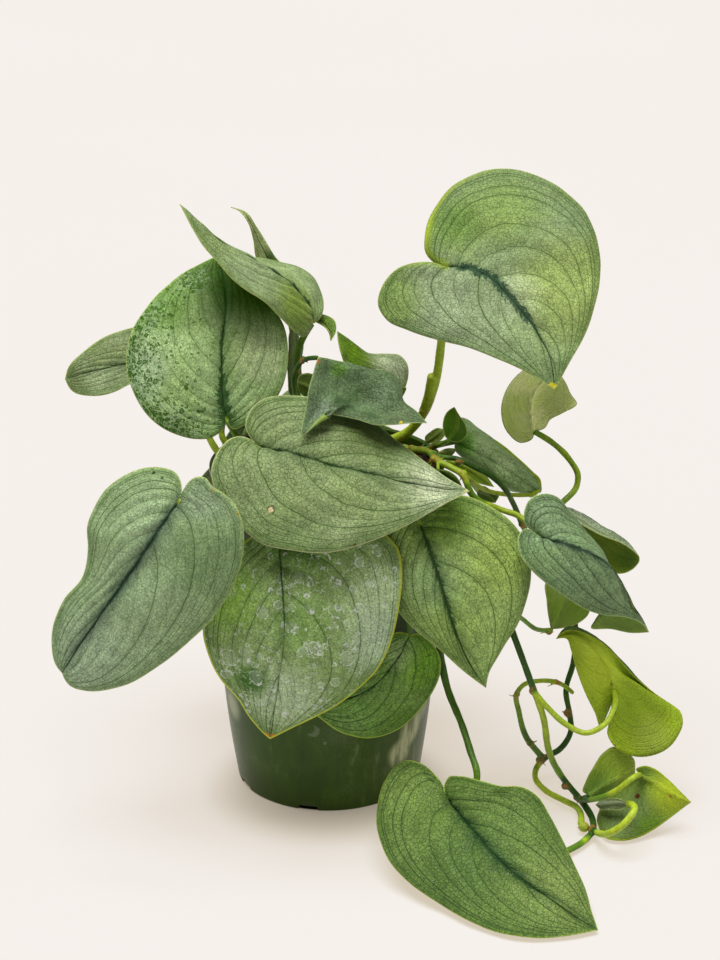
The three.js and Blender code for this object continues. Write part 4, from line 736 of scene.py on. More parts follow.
def blade_fields(spec, rows, half):
    """The grid of a blade, and what its relief and material need at each grid point."""
    place, normal, midrib = blade_surface(spec)
    t = np.linspace(0, 1, rows + 1)
    u = np.linspace(0, 1, half + 1)
    share = 0.8 * u**1.25 + 0.2 * u
    s = np.concatenate([-share[:0:-1], share])
    p = place(t, s)
    if "roll" in spec:
        p = roll_over(p, t, s, normal(t), spec["roll"])
    dt = np.gradient(p, axis=0)
    ds = np.gradient(p, axis=1)
    up = unit(np.cross(ds, dt))
    middle = slice(rows // 3, 2 * rows // 3)
    if (up * normal(t)[:, None, :]).sum(2)[middle].mean() < 0:
        up = -up
    up[0] = unit(up[1].mean(0))
    up[-1] = unit(up[-2].mean(0))
    flat = p.reshape(-1, 3)
    shares = np.linspace(0, 1, 110)
    mid, along = distance_to_line(flat, midrib(shares))
    edge = np.minimum(distance_to_line(flat, p[:, 0])[0], distance_to_line(flat, p[:, -1])[0])
    size = p.shape[:2]
    w = t[:, None] + VEIN_SWEEP * np.log(np.maximum(1 - np.abs(s)[None, :], 0.02))
    w = w + np.where(s[None, :] < 0, 0.45 * VEIN_SPACING, 0)
    wt = np.gradient(w, axis=0)
    ws = np.gradient(w, axis=1)
    tt = (dt * dt).sum(2)
    ss = (ds * ds).sum(2)
    ts = (dt * ds).sum(2)
    area2 = np.maximum(tt * ss - ts * ts, 1e-6)
    slope2 = (wt * wt * ss - 2 * wt * ws * ts + ws * ws * tt) / area2
    slope = np.sqrt(np.clip(slope2, 1e-5, 1.0))
    grids = {
        "t": np.broadcast_to(t[:, None], size),
        "s": np.broadcast_to(s[None], size),
        "mid": mid.reshape(size),
        "along": along.reshape(size),
        "edge": edge.reshape(size),
        "w": w,
        "slope": slope,
    }
    return p, up, grids


def blade_mesh(name, spec, rows, half, seed):
    """A closed blade: thin margins, a midrib channel above and a keel below, sunk veins and swells."""
    p, up, grids = blade_fields(spec, rows, half)
    mid, along, edge = grids["mid"], grids["along"], grids["edge"]
    inner = ease(edge, 0, 9)
    fade = ease(grids["w"], -0.85, -0.5) * ease(edge, 1, 6)
    fade = fade * spec.get("veins", 1)
    groove = np.exp(-((vein_distance(grids["w"], grids["slope"]) / VEIN_HALF) ** 2)) * fade
    wave = (1.1 * swell(p, 34, seed) + 0.3 * swell(p, 13, seed + 1)) * inner
    ripple = 0.45 * swell(p, 21, seed + 2) * (1 - ease(edge, 0, 12)) * ease(mid, 2, 14)
    channel = np.exp(-((mid / MIDRIB_HALF) ** 2)) * (1 - 0.75 * along) * spec.get("rib", 1)
    spacing = np.clip(VEIN_SPACING / grids["slope"], 0, 14)
    quilt = QUILT_RISE * spacing * (0.5 - 0.5 * np.cos(2 * math.pi * grids["w"] / VEIN_SPACING)) * fade
    relief = (wave + ripple) * spec.get("wave", 1) + quilt - VEIN_DEPTH * groove - CHANNEL_DEPTH * channel
    keel = KEEL_DEPTH * np.exp(-((mid / MIDRIB_HALF) ** 2)) * (1 - 0.85 * along) * spec.get("rib", 1)
    thick = BLADE / 2 * (0.36 + 0.64 * ease(edge, 0, 2.2))
    top = p + up * (relief + thick)[..., None]
    bottom = p + up * (relief - thick - keel)[..., None]
    columns = 2 * half + 1

    def listed(grid):
        ends = grid[0, half][None], grid[rows, half][None]
        return np.concatenate([ends[0], grid[1:rows].reshape(-1, *grid.shape[2:]), ends[1]])

    count = 2 + (rows - 1) * columns
    last = count - 1

    def index(i, j):
        return 1 + (i - 1) * columns + j

    faces = []
    for i in range(1, rows - 1):
        for j in range(columns - 1):
            faces.append((index(i, j), index(i, j + 1), index(i + 1, j + 1), index(i + 1, j)))
    for j in range(columns - 1):
        faces.append((0, index(1, j + 1), index(1, j)))
        faces.append((last, index(rows - 1, j), index(rows - 1, j + 1)))
    under = [tuple(count + k for k in reversed(face)) for face in faces]
    loop = [0, *(index(i, 0) for i in range(1, rows)), last]
    loop += [index(i, columns - 1) for i in range(rows - 1, 0, -1)]
    rim = [(a, b, count + b, count + a) for a, b in zip(loop, loop[1:] + loop[:1])]
    mesh = mesh_from(name, np.concatenate([listed(top), listed(bottom)]), faces + under + rim)
    for key, grid in grids.items():
        write_attribute(mesh, key, np.tile(listed(np.ascontiguousarray(grid)), 2))
    write_attribute(mesh, "side", np.repeat([1.0, 0.0], count))
    return mesh


def tube(points, r0, r1, sides=12, step=1.6, seed=0):
    """A round tube along a curve with rounded ends, its radius eased and slightly uneven."""
    curve = curve_through(points)
    length = sum(np.linalg.norm(b - a) for a, b in zip(points, points[1:]))
    rings = max(6, math.ceil(length / step))
    u = np.linspace(0, 1, rings + 1)
    centre = curve(u)
    along = unit(curve(np.minimum(u + 0.01, 1)) - curve(np.maximum(u - 0.01, 0)))
    radius = r0 + (r1 - r0) * u
    radius = radius * (1 + 0.05 * swell(centre, 9, seed))
    side = V(0, 0, 1) if abs(along[0][2]) < 0.9 else V(1, 0, 0)
    turns = np.arange(sides) * 2 * math.pi / sides
    loops = []
    for here, ahead, r in zip(centre, along, radius):
        side = unit(side - ahead * np.dot(side, ahead))
        across = np.cross(ahead, side)
        loops.append(here + r * (np.cos(turns)[:, None] * side + np.sin(turns)[:, None] * across))
    verts = [*np.concatenate(loops)]
    faces = []
    for i in range(rings):
        for k in range(sides):
            n = (k + 1) % sides
            faces.append((i * sides + k, i * sides + n, (i + 1) * sides + n, (i + 1) * sides + k))
    for ring, outward in ((0, -1), (rings, 1)):
        verts.append(centre[ring] + along[ring] * outward * radius[ring] * 0.5)
        pole = len(verts) - 1
        for k in range(sides):
            n = (k + 1) % sides
            pair = (ring * sides + k, ring * sides + n)
            faces.append((pole, *pair) if outward > 0 else (pole, *reversed(pair)))
    return np.array(verts), faces


def ball(centre, radii, turn=None):
    """An ellipsoid from an icosphere."""
    work = bmesh.new()
    bmesh.ops.create_icosphere(work, subdivisions=2, radius=1)
    verts = np.array([tuple(v.co) for v in work.verts]) * np.asarray(radii)
    faces = [tuple(v.index for v in f.verts) for f in work.faces]
    work.free()
    if turn is not None:
        verts = verts @ np.array(turn).T
    return verts + centre, faces


def joined(parts):
    """Several (points, faces) lists as one."""
    points = []
    faces = []
    start = 0
    for part_points, part_faces in parts:
        points.append(part_points)
        faces += [tuple(start + k for k in f) for f in part_faces]
        start += len(part_points)
    return np.concatenate(points), faces


def fused(name, parts, voxel_mm):
    """The parts fused into one smooth skin."""
    points, faces = joined(parts)
    rough = mesh_from(name + "_rough", points, faces)
    helper = linked(name + "_rough", rough)
    remesh = helper.modifiers.new("skin", "REMESH")
    remesh.mode = "VOXEL"
    remesh.voxel_size = voxel_mm * MM
    smooth = helper.modifiers.new("smooth", "SMOOTH")
    smooth.factor = 0.5
    smooth.iterations = 3
    mesh = applied(helper, name)
    bpy.data.meshes.remove(rough)
    return mesh


def under(leaf, reach):
    """The place under the foot of a blade."""
    spec = LEAVES[leaf]
    normal = blade_surface(spec)[1]
    return spec["midrib"][0] - normal(np.array([spec.get("seat", PETIOLE_SEAT)]))[0] * reach


def mesh_points_mm(mesh):
    """The places of a mesh's vertices."""
    flat = np.empty(3 * len(mesh.vertices))
    mesh.vertices.foreach_get("co", flat)
    return flat.reshape(-1, 3) / MM


def shares_near(points, anchors):
    """Each point's value from the anchors [(place, value)], weighted to the nearest."""
    places = np.array([place for place, _ in anchors])
    values = np.array([value for _, value in anchors])
    gap2 = ((points[:, None] - places[None]) ** 2).sum(2)
    weight = 1 / (gap2 + 0.5) ** 3
    return (weight * values).sum(1) / weight.sum(1)


def rootlets(centre, rng, count):
    """Short dry aerial rootlets at a node of a vine."""
    parts = []
    for _ in range(count):
        way = unit(rng.normal(size=3) * V(1, 1, 0.7) - V(0, 0, 0.3))
        reach = rng.uniform(3.4, 6)
        bend = unit(way + rng.normal(size=3) * 0.5)
        points = [centre, centre + way * reach * 0.55, centre + way * reach * 0.6 + bend * reach * 0.45]
        parts.append(tube(points, 0.75, 0.35, sides=8, step=0.8))
    return parts


def stem_mesh(name, spec, seed):
    """A leafy stem: its foot, petioles, the swollen nodes they leave from and aerial rootlets."""
    rng = np.random.default_rng(seed)
    points, r0, r1 = spec["foot"]
    parts = [tube(points, r0, r1, seed=seed)]
    knots = []
    for r0, r1, leaf, *points in spec["paths"]:
        if leaf:
            points.append(under(leaf, BLADE / 2 + PETIOLE_SINK * r1))
        parts.append(tube(points, r0, r1, seed=seed + len(parts)))
        parts.append(ball(points[0], [KNOT_SWELL * r0] * 3))
        knots.append(points[0])
    for place, size in NODES.get(name, []):
        parts.append(ball(place, [size] * 3))
        parts += rootlets(place, rng, 2)
        knots.append(place)
    mesh = fused(name, parts, STEM_VOXEL)
    verts = mesh_points_mm(mesh)
    write_attribute(mesh, "tone", shares_near(verts, TONES[name]))
    gap = np.linalg.norm(verts[:, None] - np.array(knots)[None], axis=2).min(1)
    write_attribute(mesh, "knot", gap)
    return mesh


def pot_radius(z):
    """Outer radius of the wall: it opens fast at the base and stands straighter above."""
    return POT_NECK_R - (POT_NECK_R - POT_BASE_R) * (1 - z / POT_HEIGHT) ** POT_CURVE


def on_pot(px, py):
    """The place of the pot's wall that photo pixel (px, py) shows."""
    reach = np.linspace(1100, 1450, 700)[:, None]
    points = CAMERA_MM + reach * unit(ray(px, py))
    inside = np.hypot(points[:, 0], points[:, 1]) < np.array([pot_radius(z) for z in points[:, 2]])
    return points[inside.argmax()]


def turned(profile, segments, dent=0.0):
    """A turned body from [radius, height] pairs that start and end on the axis."""
    turns = np.arange(segments) * 2 * math.pi / segments
    verts = [V(0, 0, profile[0][1])]
    for r, z in profile[1:-1]:
        ring = np.stack([r * np.cos(turns), r * np.sin(turns), np.full(segments, z)], axis=1)
        if dent:
            push = dent * swell(ring, 46, 5) * (r > POT_BASE_R * 0.9)
            ring[:, :2] *= (1 + push / r)[:, None]
        verts += [*ring]
    verts.append(V(0, 0, profile[-1][1]))
    last = len(verts) - 1
    faces = []
    rings = len(profile) - 2
    for k in range(segments):
        n = (k + 1) % segments
        faces.append((0, 1 + n, 1 + k))
        faces.append((last, 1 + (rings - 1) * segments + k, 1 + (rings - 1) * segments + n))
        for i in range(rings - 1):
            a = 1 + i * segments
            b = a + segments
            faces.append((a + k, a + n, b + n, b + k))
    return np.array(verts), faces


def arc(centre, radius, start, end, count):
    """Points of a circular arc in the profile, angles in degrees."""
    angles = np.radians(np.linspace(start, end, count))
    return [(centre[0] + radius * math.cos(a), centre[1] + radius * math.sin(a)) for a in angles]


def pot_mesh():
    """The pot's shell with a rolled rim, cut by the drain notches."""
    foot = 1.2
    lip = 0.7
    outer = [(pot_radius(z), z) for z in np.linspace(foot, POT_HEIGHT - RIM_DROP, 34)]
    inner = [(pot_radius(z) - POT_WALL, z) for z in np.linspace(POT_HEIGHT - 1.2, POT_FLOOR + 2, 16)]
    profile = [(0, 0), (POT_BASE_R - 9, 0), (POT_BASE_R - foot, 0)]
    profile += arc((POT_BASE_R - foot + 0.2, foot), foot, -80, -10, 5)
    profile += outer
    profile += arc((RIM_R - lip, POT_HEIGHT - RIM_DROP + lip), lip, -90, 0, 5)
    profile += arc((RIM_R - lip, POT_HEIGHT - lip), lip, 0, 90, 6)
    profile += arc((POT_NECK_R - POT_WALL + lip, POT_HEIGHT - lip), lip, 90, 180, 6)
    profile += inner
    profile += [(POT_BASE_R - POT_WALL - 1.5, POT_FLOOR), (0, POT_FLOOR)]
    shell = mesh_from("pot_shell", *turned(profile, 144, dent=0.12))
    pot = linked("pot_shell", shell)
    cuts = [notch_block(math.radians(NOTCH_TURN + 360 / NOTCH_COUNT * k)) for k in range(NOTCH_COUNT)]
    cutter = linked("notches", mesh_from("notches", *joined(cuts)))
    cut = pot.modifiers.new("notches", "BOOLEAN")
    cut.operation = "DIFFERENCE"
    cut.solver = "EXACT"
    cut.object = cutter
    mesh = applied(pot, "pot")
    bpy.data.objects.remove(cutter)
    return mesh


def notch_block(angle):
    """A drain notch's block: rounded at its upper corners."""
    half = NOTCH_WIDTH / 2
    corner = 1.4
    outline = [(-half, -2.0), (half, -2.0)]
    outline += arc((half - corner, NOTCH_HEIGHT - corner), corner, 0, 90, 6)
    outline += arc((-half + corner, NOTCH_HEIGHT - corner), corner, 90, 180, 6)
    near = POT_BASE_R - NOTCH_DEPTH + 2
    far = POT_BASE_R + 6
    verts = [V(r, y, z) for r in (near, far) for y, z in outline]
    n = len(outline)
    faces = [tuple(reversed(range(n))), tuple(range(n, 2 * n))]
    faces += [(k, (k + 1) % n, n + (k + 1) % n, n + k) for k in range(n)]
    c, s = math.cos(angle), math.sin(angle)
    turn = np.array([[c, -s, 0], [s, c, 0], [0, 0, 1]])
    return np.array(verts) @ turn.T, faces


def crumb(centre, size, rng):
    """A rough fragment of bark or peat."""
    turn = Matrix.Rotation(rng.uniform(0, 6.3), 3, Vector(unit(rng.normal(size=3))))
    radii = size * np.array([1, rng.uniform(0.45, 0.9), rng.uniform(0.35, 0.7)])
    verts, faces = ball(V(0, 0, 0), radii, turn)
    rough = 1 + 0.22 * swell(verts, size * 1.6, int(rng.integers(1e6)))
    return verts * rough[:, None] + centre, faces


def soil_meshes():
    """The filled soil with its bark and peat, and the white perlite grains in it."""
    rng = np.random.default_rng(71)
    inside = pot_radius(SOIL_TOP) - POT_WALL - FIT_GAP
    mound = 1.4
    rings = [(r, SOIL_TOP + mound * math.sqrt(max(0, 1 - (r / inside) ** 2)))
             for r in np.linspace(inside - 0.6, 2, 30)]
    floor_z = POT_FLOOR + FIT_GAP
    side = [(pot_radius(z) - POT_WALL - FIT_GAP - 0.5, z) for z in np.linspace(floor_z + 1, SOIL_TOP - 1, 12)]
    bed, faces = turned([(0, floor_z), *side, *rings, (0, SOIL_TOP + mound)], 96)
    upper = ease(bed[:, 2], SOIL_TOP - 2, SOIL_TOP - 0.4)
    bed[:, 2] += upper * (1.3 * swell(bed, 17, 9) + 0.7 * swell(bed, 5, 10))
    parts = [(bed, faces)]
    for _ in range(CRUMBS):
        parts.append(crumb(soil_spot(rng, inside), rng.choice(CRUMB_SIZES, p=CRUMB_ODDS), rng))
    perlite = [crumb(soil_spot(rng, inside) + V(0, 0, 0.8), rng.uniform(0.9, 1.9), rng)
               for _ in range(PERLITE)]
    return mesh_from("soil", *joined(parts)), mesh_from("perlite", *joined(perlite))


def soil_spot(rng, inside):
    """A random place on the soil, clear of the wall."""
    r = (inside - 4) * math.sqrt(rng.random())
    a = rng.uniform(0, 2 * math.pi)
    return V(r * math.cos(a), r * math.sin(a), SOIL_TOP + 0.8 + rng.uniform(0, 1.2))


def srgb(text):
    """A linear colour from its screen value."""
    parts = [int(text[i:i + 2], 16) / 255 for i in (1, 3, 5)]
    return tuple((c / 12.92 if c <= 0.04045 else ((c + 0.055) / 1.055) ** 2.4) for c in parts) + (1.0,)


class Graph:
    """A material's node tree, built by calls that return sockets."""

    def __init__(self, name):
        self.material = bpy.data.materials.new(name)
        self.material.use_nodes = True
        self.tree = self.material.node_tree
        self.tree.nodes.clear()
        self.place = self.add("ShaderNodeTexCoord").outputs["Object"]

    def add(self, kind, **settings):
        node = self.tree.nodes.new(kind)
        for key, value in settings.items():
            setattr(node, key, value)
        return node

    def feed(self, socket, value):
        if isinstance(value, bpy.types.NodeSocket):
            self.tree.links.new(value, socket)
        else:
            socket.default_value = value

    def fed(self, node, values):
        for socket, value in zip(node.inputs, values):
            self.feed(socket, value)
        return node

    def math(self, kind, *values):
        return self.fed(self.add("ShaderNodeMath", operation=kind), values).outputs[0]

    def vector(self, kind, *values):
        return self.fed(self.add("ShaderNodeVectorMath", operation=kind), values)

    def total(self, *values):
        return functools.reduce(lambda a, b: self.math("ADD", a, b), values)

    def product(self, *values):
        return functools.reduce(lambda a, b: self.math("MULTIPLY", a, b), values)

    def from_whole(self, value):
        """How far a value is from the nearest whole number."""
        return self.math("ABSOLUTE", self.math("SUBTRACT", value, self.math("ROUND", value)))

    def step(self, value, low, high, start=0.0, end=1.0):
        """start below low, end above high, smooth between."""
        node = self.add("ShaderNodeMapRange", interpolation_type="SMOOTHSTEP")
        for key, number in (("Value", value), ("From Min", low), ("From Max", high),
                            ("To Min", start), ("To Max", end)):
            self.feed(node.inputs[key], number)
        return node.outputs[0]

    def fall(self, value, low, high):
        """1 below low, 0 above high, smooth between."""
        return self.step(value, low, high, 1.0, 0.0)

    def mix(self, share, a, b, kind="MIX"):
        node = self.add("ShaderNodeMix", data_type="RGBA", blend_type=kind)
        self.feed(node.inputs[0], share)
        self.feed(node.inputs[6], a)
        self.feed(node.inputs[7], b)
        return node.outputs[2]

    def painted(self, colour, *layers):
        """The colour under layers of (share, tint)."""
        for share, tint in layers:
            colour = self.mix(share, colour, srgb(tint))
        return colour

    def shaded(self, colour, noise, dark, light, span=(0.3, 0.7)):
        """The colour times a grey that runs from dark to light with the noise."""
        value = self.step(noise, *span, dark, light)
        grey = self.fed(self.add("ShaderNodeCombineColor"), [value] * 3)
        return self.mix(1.0, colour, grey.outputs[0], "MULTIPLY")

    def attribute(self, name):
        return self.add("ShaderNodeAttribute", attribute_name=name).outputs["Fac"]

    def red_of(self, colour):
        return self.fed(self.add("ShaderNodeSeparateColor"), [colour]).outputs[0]

    def texture(self, kind, size_mm, vector=None, **settings):
        """A texture with features of that size."""
        node = self.add(kind, **settings)
        self.feed(node.inputs["Vector"], vector or self.place)
        self.feed(node.inputs["Scale"], 1 / (size_mm * MM))
        return node

    def noise(self, size_mm, detail=2.0, roughness=0.5, vector=None):
        """Noise about 0.5."""
        node = self.texture("ShaderNodeTexNoise", size_mm, vector)
        self.feed(node.inputs["Detail"], detail)
        self.feed(node.inputs["Roughness"], roughness)
        return node.outputs[0]

    def cells(self, size_mm, vector=None, feature="F1"):
        return self.texture("ShaderNodeTexVoronoi", size_mm, vector, feature=feature)

    def borders(self, size_mm, vector):
        """The distance to the nearest border between cells, as a share of their size."""
        return self.cells(size_mm, vector, "DISTANCE_TO_EDGE").outputs["Distance"]

    def dots(self, size_mm, inner, outer, rare, common):
        """Round dots in some of the cells: in none whose luck is below rare, in all above common."""
        cells = self.cells(size_mm)
        return self.product(self.fall(cells.outputs["Distance"], inner, outer),
                            self.step(self.red_of(cells.outputs["Color"]), rare, common))

    def warped(self, amount_mm, size_mm):
        """Object coordinates pushed about by noise."""
        noise = self.texture("ShaderNodeTexNoise", size_mm).outputs["Color"]
        return self.vector("MULTIPLY_ADD", noise, (2 * amount_mm * MM,) * 3, self.place).outputs[0]

    def distance(self, x, y, z):
        """The distance in metres to a place in mm."""
        return self.vector("DISTANCE", self.place, (x * MM, y * MM, z * MM)).outputs["Value"]

    def near(self, place_mm, radius_mm, ragged_mm=0.0):
        """1 at a place, 0 beyond the radius."""
        distance = self.distance(*place_mm)
        inner = 0.25
        if ragged_mm:
            noise = self.noise(ragged_mm * 2, 3)
            push = self.math("MULTIPLY_ADD", noise, ragged_mm * 2 * MM, -ragged_mm * MM)
            distance = self.math("ADD", distance, push)
            inner = 0.7
        return self.fall(distance, radius_mm * MM * inner, radius_mm * MM)

    def surface(self, colour, roughness, height, bump_mm, bump_strength=1.0, **fixed):
        """The one shader, with uniform values on its own sockets."""
        shader = self.add("ShaderNodeBsdfPrincipled")
        self.feed(shader.inputs["Base Color"], colour)
        self.feed(shader.inputs["Roughness"], roughness)
        for key, value in fixed.items():
            self.feed(shader.inputs[key.replace("_", " ")], value)
        bump = self.add("ShaderNodeBump")
        self.feed(bump.inputs["Strength"], bump_strength)
        self.feed(bump.inputs["Distance"], bump_mm * MM)
        self.feed(bump.inputs["Height"], height)
        self.tree.links.new(bump.outputs[0], shader.inputs["Normal"])
        output = self.add("ShaderNodeOutputMaterial")
        self.tree.links.new(shader.outputs[0], output.inputs["Surface"])
        return self.material


# How a leaf looks unless its own row below says otherwise. Tints are screen colours, soft and the names in
# _mm are millimetres, the ends and band_grow are shares of the midrib's length, band_base is a share of
# band_mm, and the rest are strengths.
PLAIN_LOOK = dict(
    top="#869a6c", warm="#8da658", warm_share=0.4, vein="#3d5e24", lateral=1.0, net=1.0, rings=0.0,
    band="#1c4026", band_mm=2.6, band_base=0.35, band_grow=0.16, band_end=0.62, spike=1.0, soft=0.1,
    halo=0.35, halo_mm=7.0, rib=1.0, rib_end=1.0, border="#7c9a50", margin="#b3c26c", margin_mm=0.4,
    under="#94ab54", under_deep="#6f8d3a", under_vein="#b4c670", under_rib=1.0,
    blotches_and_painted_light=[], under_blotches_and_painted_light=[], spots=[], strips=[], speckle=[],
)


def speckled(g, ground, zone, warped):
    """Silver patches and raw green flecks that leave the silver in small blots."""
    silver = g.product(g.step(zone, 0.1, 0.6), g.step(g.noise(3.5, 3), 0.42, 0.6))
    ground = g.painted(ground, (g.product(silver, 0.36), "#a9c29c"))
    for size, most in ((1.7, 0.62), (3.0, 0.34)):
        gap = g.borders(size, warped)
        chance = g.red_of(g.cells(size, warped).outputs["Color"])
        luck = g.math("SUBTRACT", g.product(zone, most), chance)
        shape = g.product(g.step(gap, 0.06, 0.12), g.step(gap, 0.2, 0.34, 1.0, 0.55))
        ground = g.painted(ground, (g.product(g.step(luck, -0.03, 0.03), shape, 0.95), "#34600c"))
    return ground


def midrib_band(g, look, ground, half):
    """The ragged dark band along the midrib, with its halo, the rib itself and the petiole's lime seat."""
    mid = g.attribute("mid")
    along = g.attribute("along")
    stretch = (g.product(g.attribute("w"), 46.0), g.product(mid, 0.22), g.product(half, 3.7))
    streaky = g.fed(g.add("ShaderNodeCombineXYZ"), stretch)
    streak = g.noise(1000, 3, 0.65, streaky.outputs[0])
    end = look["band_end"]
    band_half = g.product(
        g.step(along, 0.0, look["band_grow"], look["band_base"], 1.0),
        g.fall(along, end * 0.55, end),
        look["band_mm"],
    )
    spike = look["spike"]
    reach_out = g.product(band_half, g.step(streak, 0.36, 0.72, 1 - 0.5 * spike, 1 + 0.8 * spike))
    broken = g.math("MULTIPLY_ADD", g.noise(1.3, 3, 0.6), 2.0, -1.0)
    band = g.fall(g.math("SUBTRACT", g.total(mid, broken), reach_out), -0.6, look["soft"])
    halo = g.product(
        g.fall(g.math("SUBTRACT", mid, band_half), 0.0, look["halo_mm"]),
        g.step(along, end, end + 0.25, 1.0, 0.15),
        look["halo"],
    )
    rib_fade = g.step(along, look["rib_end"] - 0.2, look["rib_end"], 1.0, 0.2)
    rib = g.product(g.fall(mid, 0.15, 0.5), rib_fade, look["rib"])
    seat = g.product(g.fall(mid, 0.5, 1.4), g.fall(along, 0.0, 0.03))
    tint = look["band"]
    shares = (halo, tint), (g.product(band, 0.84), tint), (g.product(rib, 0.8), tint), (seat, "#a9bd3c")
    return g.painted(ground, *shares), rib


def leaf_material(name, look):
    """A satin leaf: silvery ground, dark net and lateral veins, ragged band, lime margin, paler back."""
    g = Graph(name)
    w, slope, mid, edge = (g.attribute(key) for key in ("w", "slope", "mid", "edge"))

    def zone(pixel, radius, ragged=0.0):
        return g.near(on_blade(name, *pixel), radius, ragged)

    # The blotch tints: some are the leaf's own patches, many are painted shadow, painted light and painted
    # highlight
    def with_blotches_and_painted_light(colour, blotches_and_painted_light):
        return g.painted(colour, *(
            (g.product(zone(pixel, radius), strength), tint) for pixel, radius, tint, strength in blotches_and_painted_light
        ))

    broad = g.noise(30, 3)
    patch = g.noise(11, 3, 0.55)
    mottle = g.noise(4.5, 4, 0.6)
    grain = g.noise(0.9, 2, 0.6)
    warped = g.warped(0.7, 4)

    # The lateral veins, and the minor ones halfway between them
    wobble = g.math("MULTIPLY_ADD", g.noise(9, 2), 0.16, -0.08)
    phase = g.total(g.math("DIVIDE", w, VEIN_SPACING), wobble)
    vein_mm = g.math("DIVIDE", g.product(g.from_whole(phase), VEIN_SPACING), slope)
    reach = g.product(g.step(w, -0.95, -0.6), g.step(edge, 0.4, 3.0, 0.25, 1.0))
    half = g.math("SIGN", g.attribute("s"))
    which = g.add("ShaderNodeTexWhiteNoise", noise_dimensions="1D")
    g.feed(which.inputs["W"], g.math("MULTIPLY_ADD", half, 17.3, g.math("ROUND", phase)))
    strong = g.step(which.outputs["Value"], 0.15, 0.85, 0.3, 1.0)
    lateral = g.product(g.fall(vein_mm, 0.08, 0.42), reach, strong, look["lateral"])
    lateral_shade = g.product(g.fall(vein_mm, 0.0, 2.4), reach)
    off_between = g.from_whole(g.math("MULTIPLY", phase, 2.0))
    between_mm = g.math("DIVIDE", g.product(off_between, VEIN_SPACING / 2), slope)
    minor = g.product(g.fall(between_mm, 0.05, 0.28), reach, g.step(broad, 0.40, 0.58))
    net_line = g.fall(g.borders(2.4, warped), 0.01, 0.09)
    fine_line = g.fall(g.borders(1.15, warped), 0.0, 0.10)
    leaf_net = g.product(net_line, g.step(g.noise(2.2, 2), 0.35, 0.62, 0.25, 1.0), look["net"])

    warm_zone = g.product(g.step(broad, 0.42, 0.66), look["warm_share"])
    ground = with_blotches_and_painted_light(g.mix(warm_zone, srgb(look["top"]), srgb(look["warm"])), look["blotches_and_painted_light"])
    ground = g.painted(ground, (g.step(edge, 1.0, 6.0, 0.3, 0.0), look["border"]))
    for noise, dark, light in ((patch, 0.91, 1.09), (mottle, 0.86, 1.15), (grain, 0.77, 1.26)):
        ground = g.shaded(ground, noise, dark, light)
    ground = g.painted(ground, *((share, look["vein"]) for share in (
        g.product(fine_line, 0.32),
        g.product(leaf_net, 0.62),
        g.product(minor, 0.3),
        g.product(lateral_shade, strong, 0.21 * look["lateral"]),
        g.product(lateral, 0.62),
    )))
    if look["speckle"]:
        spread = 0.0
        for pixel, radius in look["speckle"]:
            spread = g.math("MAXIMUM", zone(pixel, radius), spread)
        ground = speckled(g, ground, g.product(spread, g.step(edge, 1.0, 22.0, 1.0, 0.12)), warped)
    if look["rings"]:
        ground = g.painted(ground, (water_rings(g, look["rings"]), "#dfe8dc"))
    ground, rib = midrib_band(g, look, ground, half)
    ground = g.painted(
        ground,
        (g.product(g.dots(2.4, 0.06, 0.12, 0.72, 0.78), 0.45), "#cfdac2"),
        (g.product(g.dots(7.0, 0.035, 0.06, 0.6, 0.7), 0.7), "#3b4a22"),
    )

    deep = look["under_deep"]
    back = g.mix(g.step(broad, 0.35, 0.65), srgb(look["under"]), srgb(deep))
    back = g.painted(
        g.shaded(back, mottle, 0.9, 1.1),
        (g.product(net_line, 0.12), deep),
        (g.product(lateral_shade, 0.30), deep),
        (g.product(lateral, 0.5), deep),
        (g.product(g.step(mid, 0.3, 1.2, 0.35, 0.0), look["under_rib"]), look["under_vein"]),
    )
    back = with_blotches_and_painted_light(back, look["under_blotches_and_painted_light"])

    colour = g.mix(g.attribute("side"), back, ground)
    for pixel, radius, tint in look["spots"]:
        colour = g.painted(colour, (zone(pixel, radius, radius * 0.35), tint))
    for pixel, radius, width, tint in look["strips"]:
        depth = g.total(edge, g.product(g.noise(5, 2), 1.2))
        strip = g.product(zone(pixel, radius), g.fall(depth, width * 0.3, width * 1.5))
        colour = g.painted(colour, (g.product(strip, 0.8), tint))
    rim = g.math("ADD", edge, g.product(g.noise(6, 2), 0.3))
    lime = g.fall(rim, look["margin_mm"], look["margin_mm"] + 0.35)
    colour = g.painted(colour, (g.product(lime, 0.85), look["margin"]))

    height = g.total(*(g.product(layer, depth) for layer, depth in (
        (lateral, -0.8), (net_line, -0.6), (fine_line, -0.15), (minor, -0.2),
        (mottle, 0.8), (grain, 0.35), (rib, -0.6),
    )))
    roughness = g.total(g.step(mottle, 0.3, 0.7, 0.46, 0.6), g.product(net_line, 0.06))
    return g.surface(colour, roughness, height, 0.4, 0.9, Specular_IOR_Level=0.17)


# Dried drops: the size of their cells in mm, their least and largest radius as shares of it, and the
# share of the cells that hold none
DROPS = [(17.0, 0.2, 0.32, 0.5), (10.5, 0.2, 0.34, 0.4), (7.0, 0.2, 0.34, 0.62)]


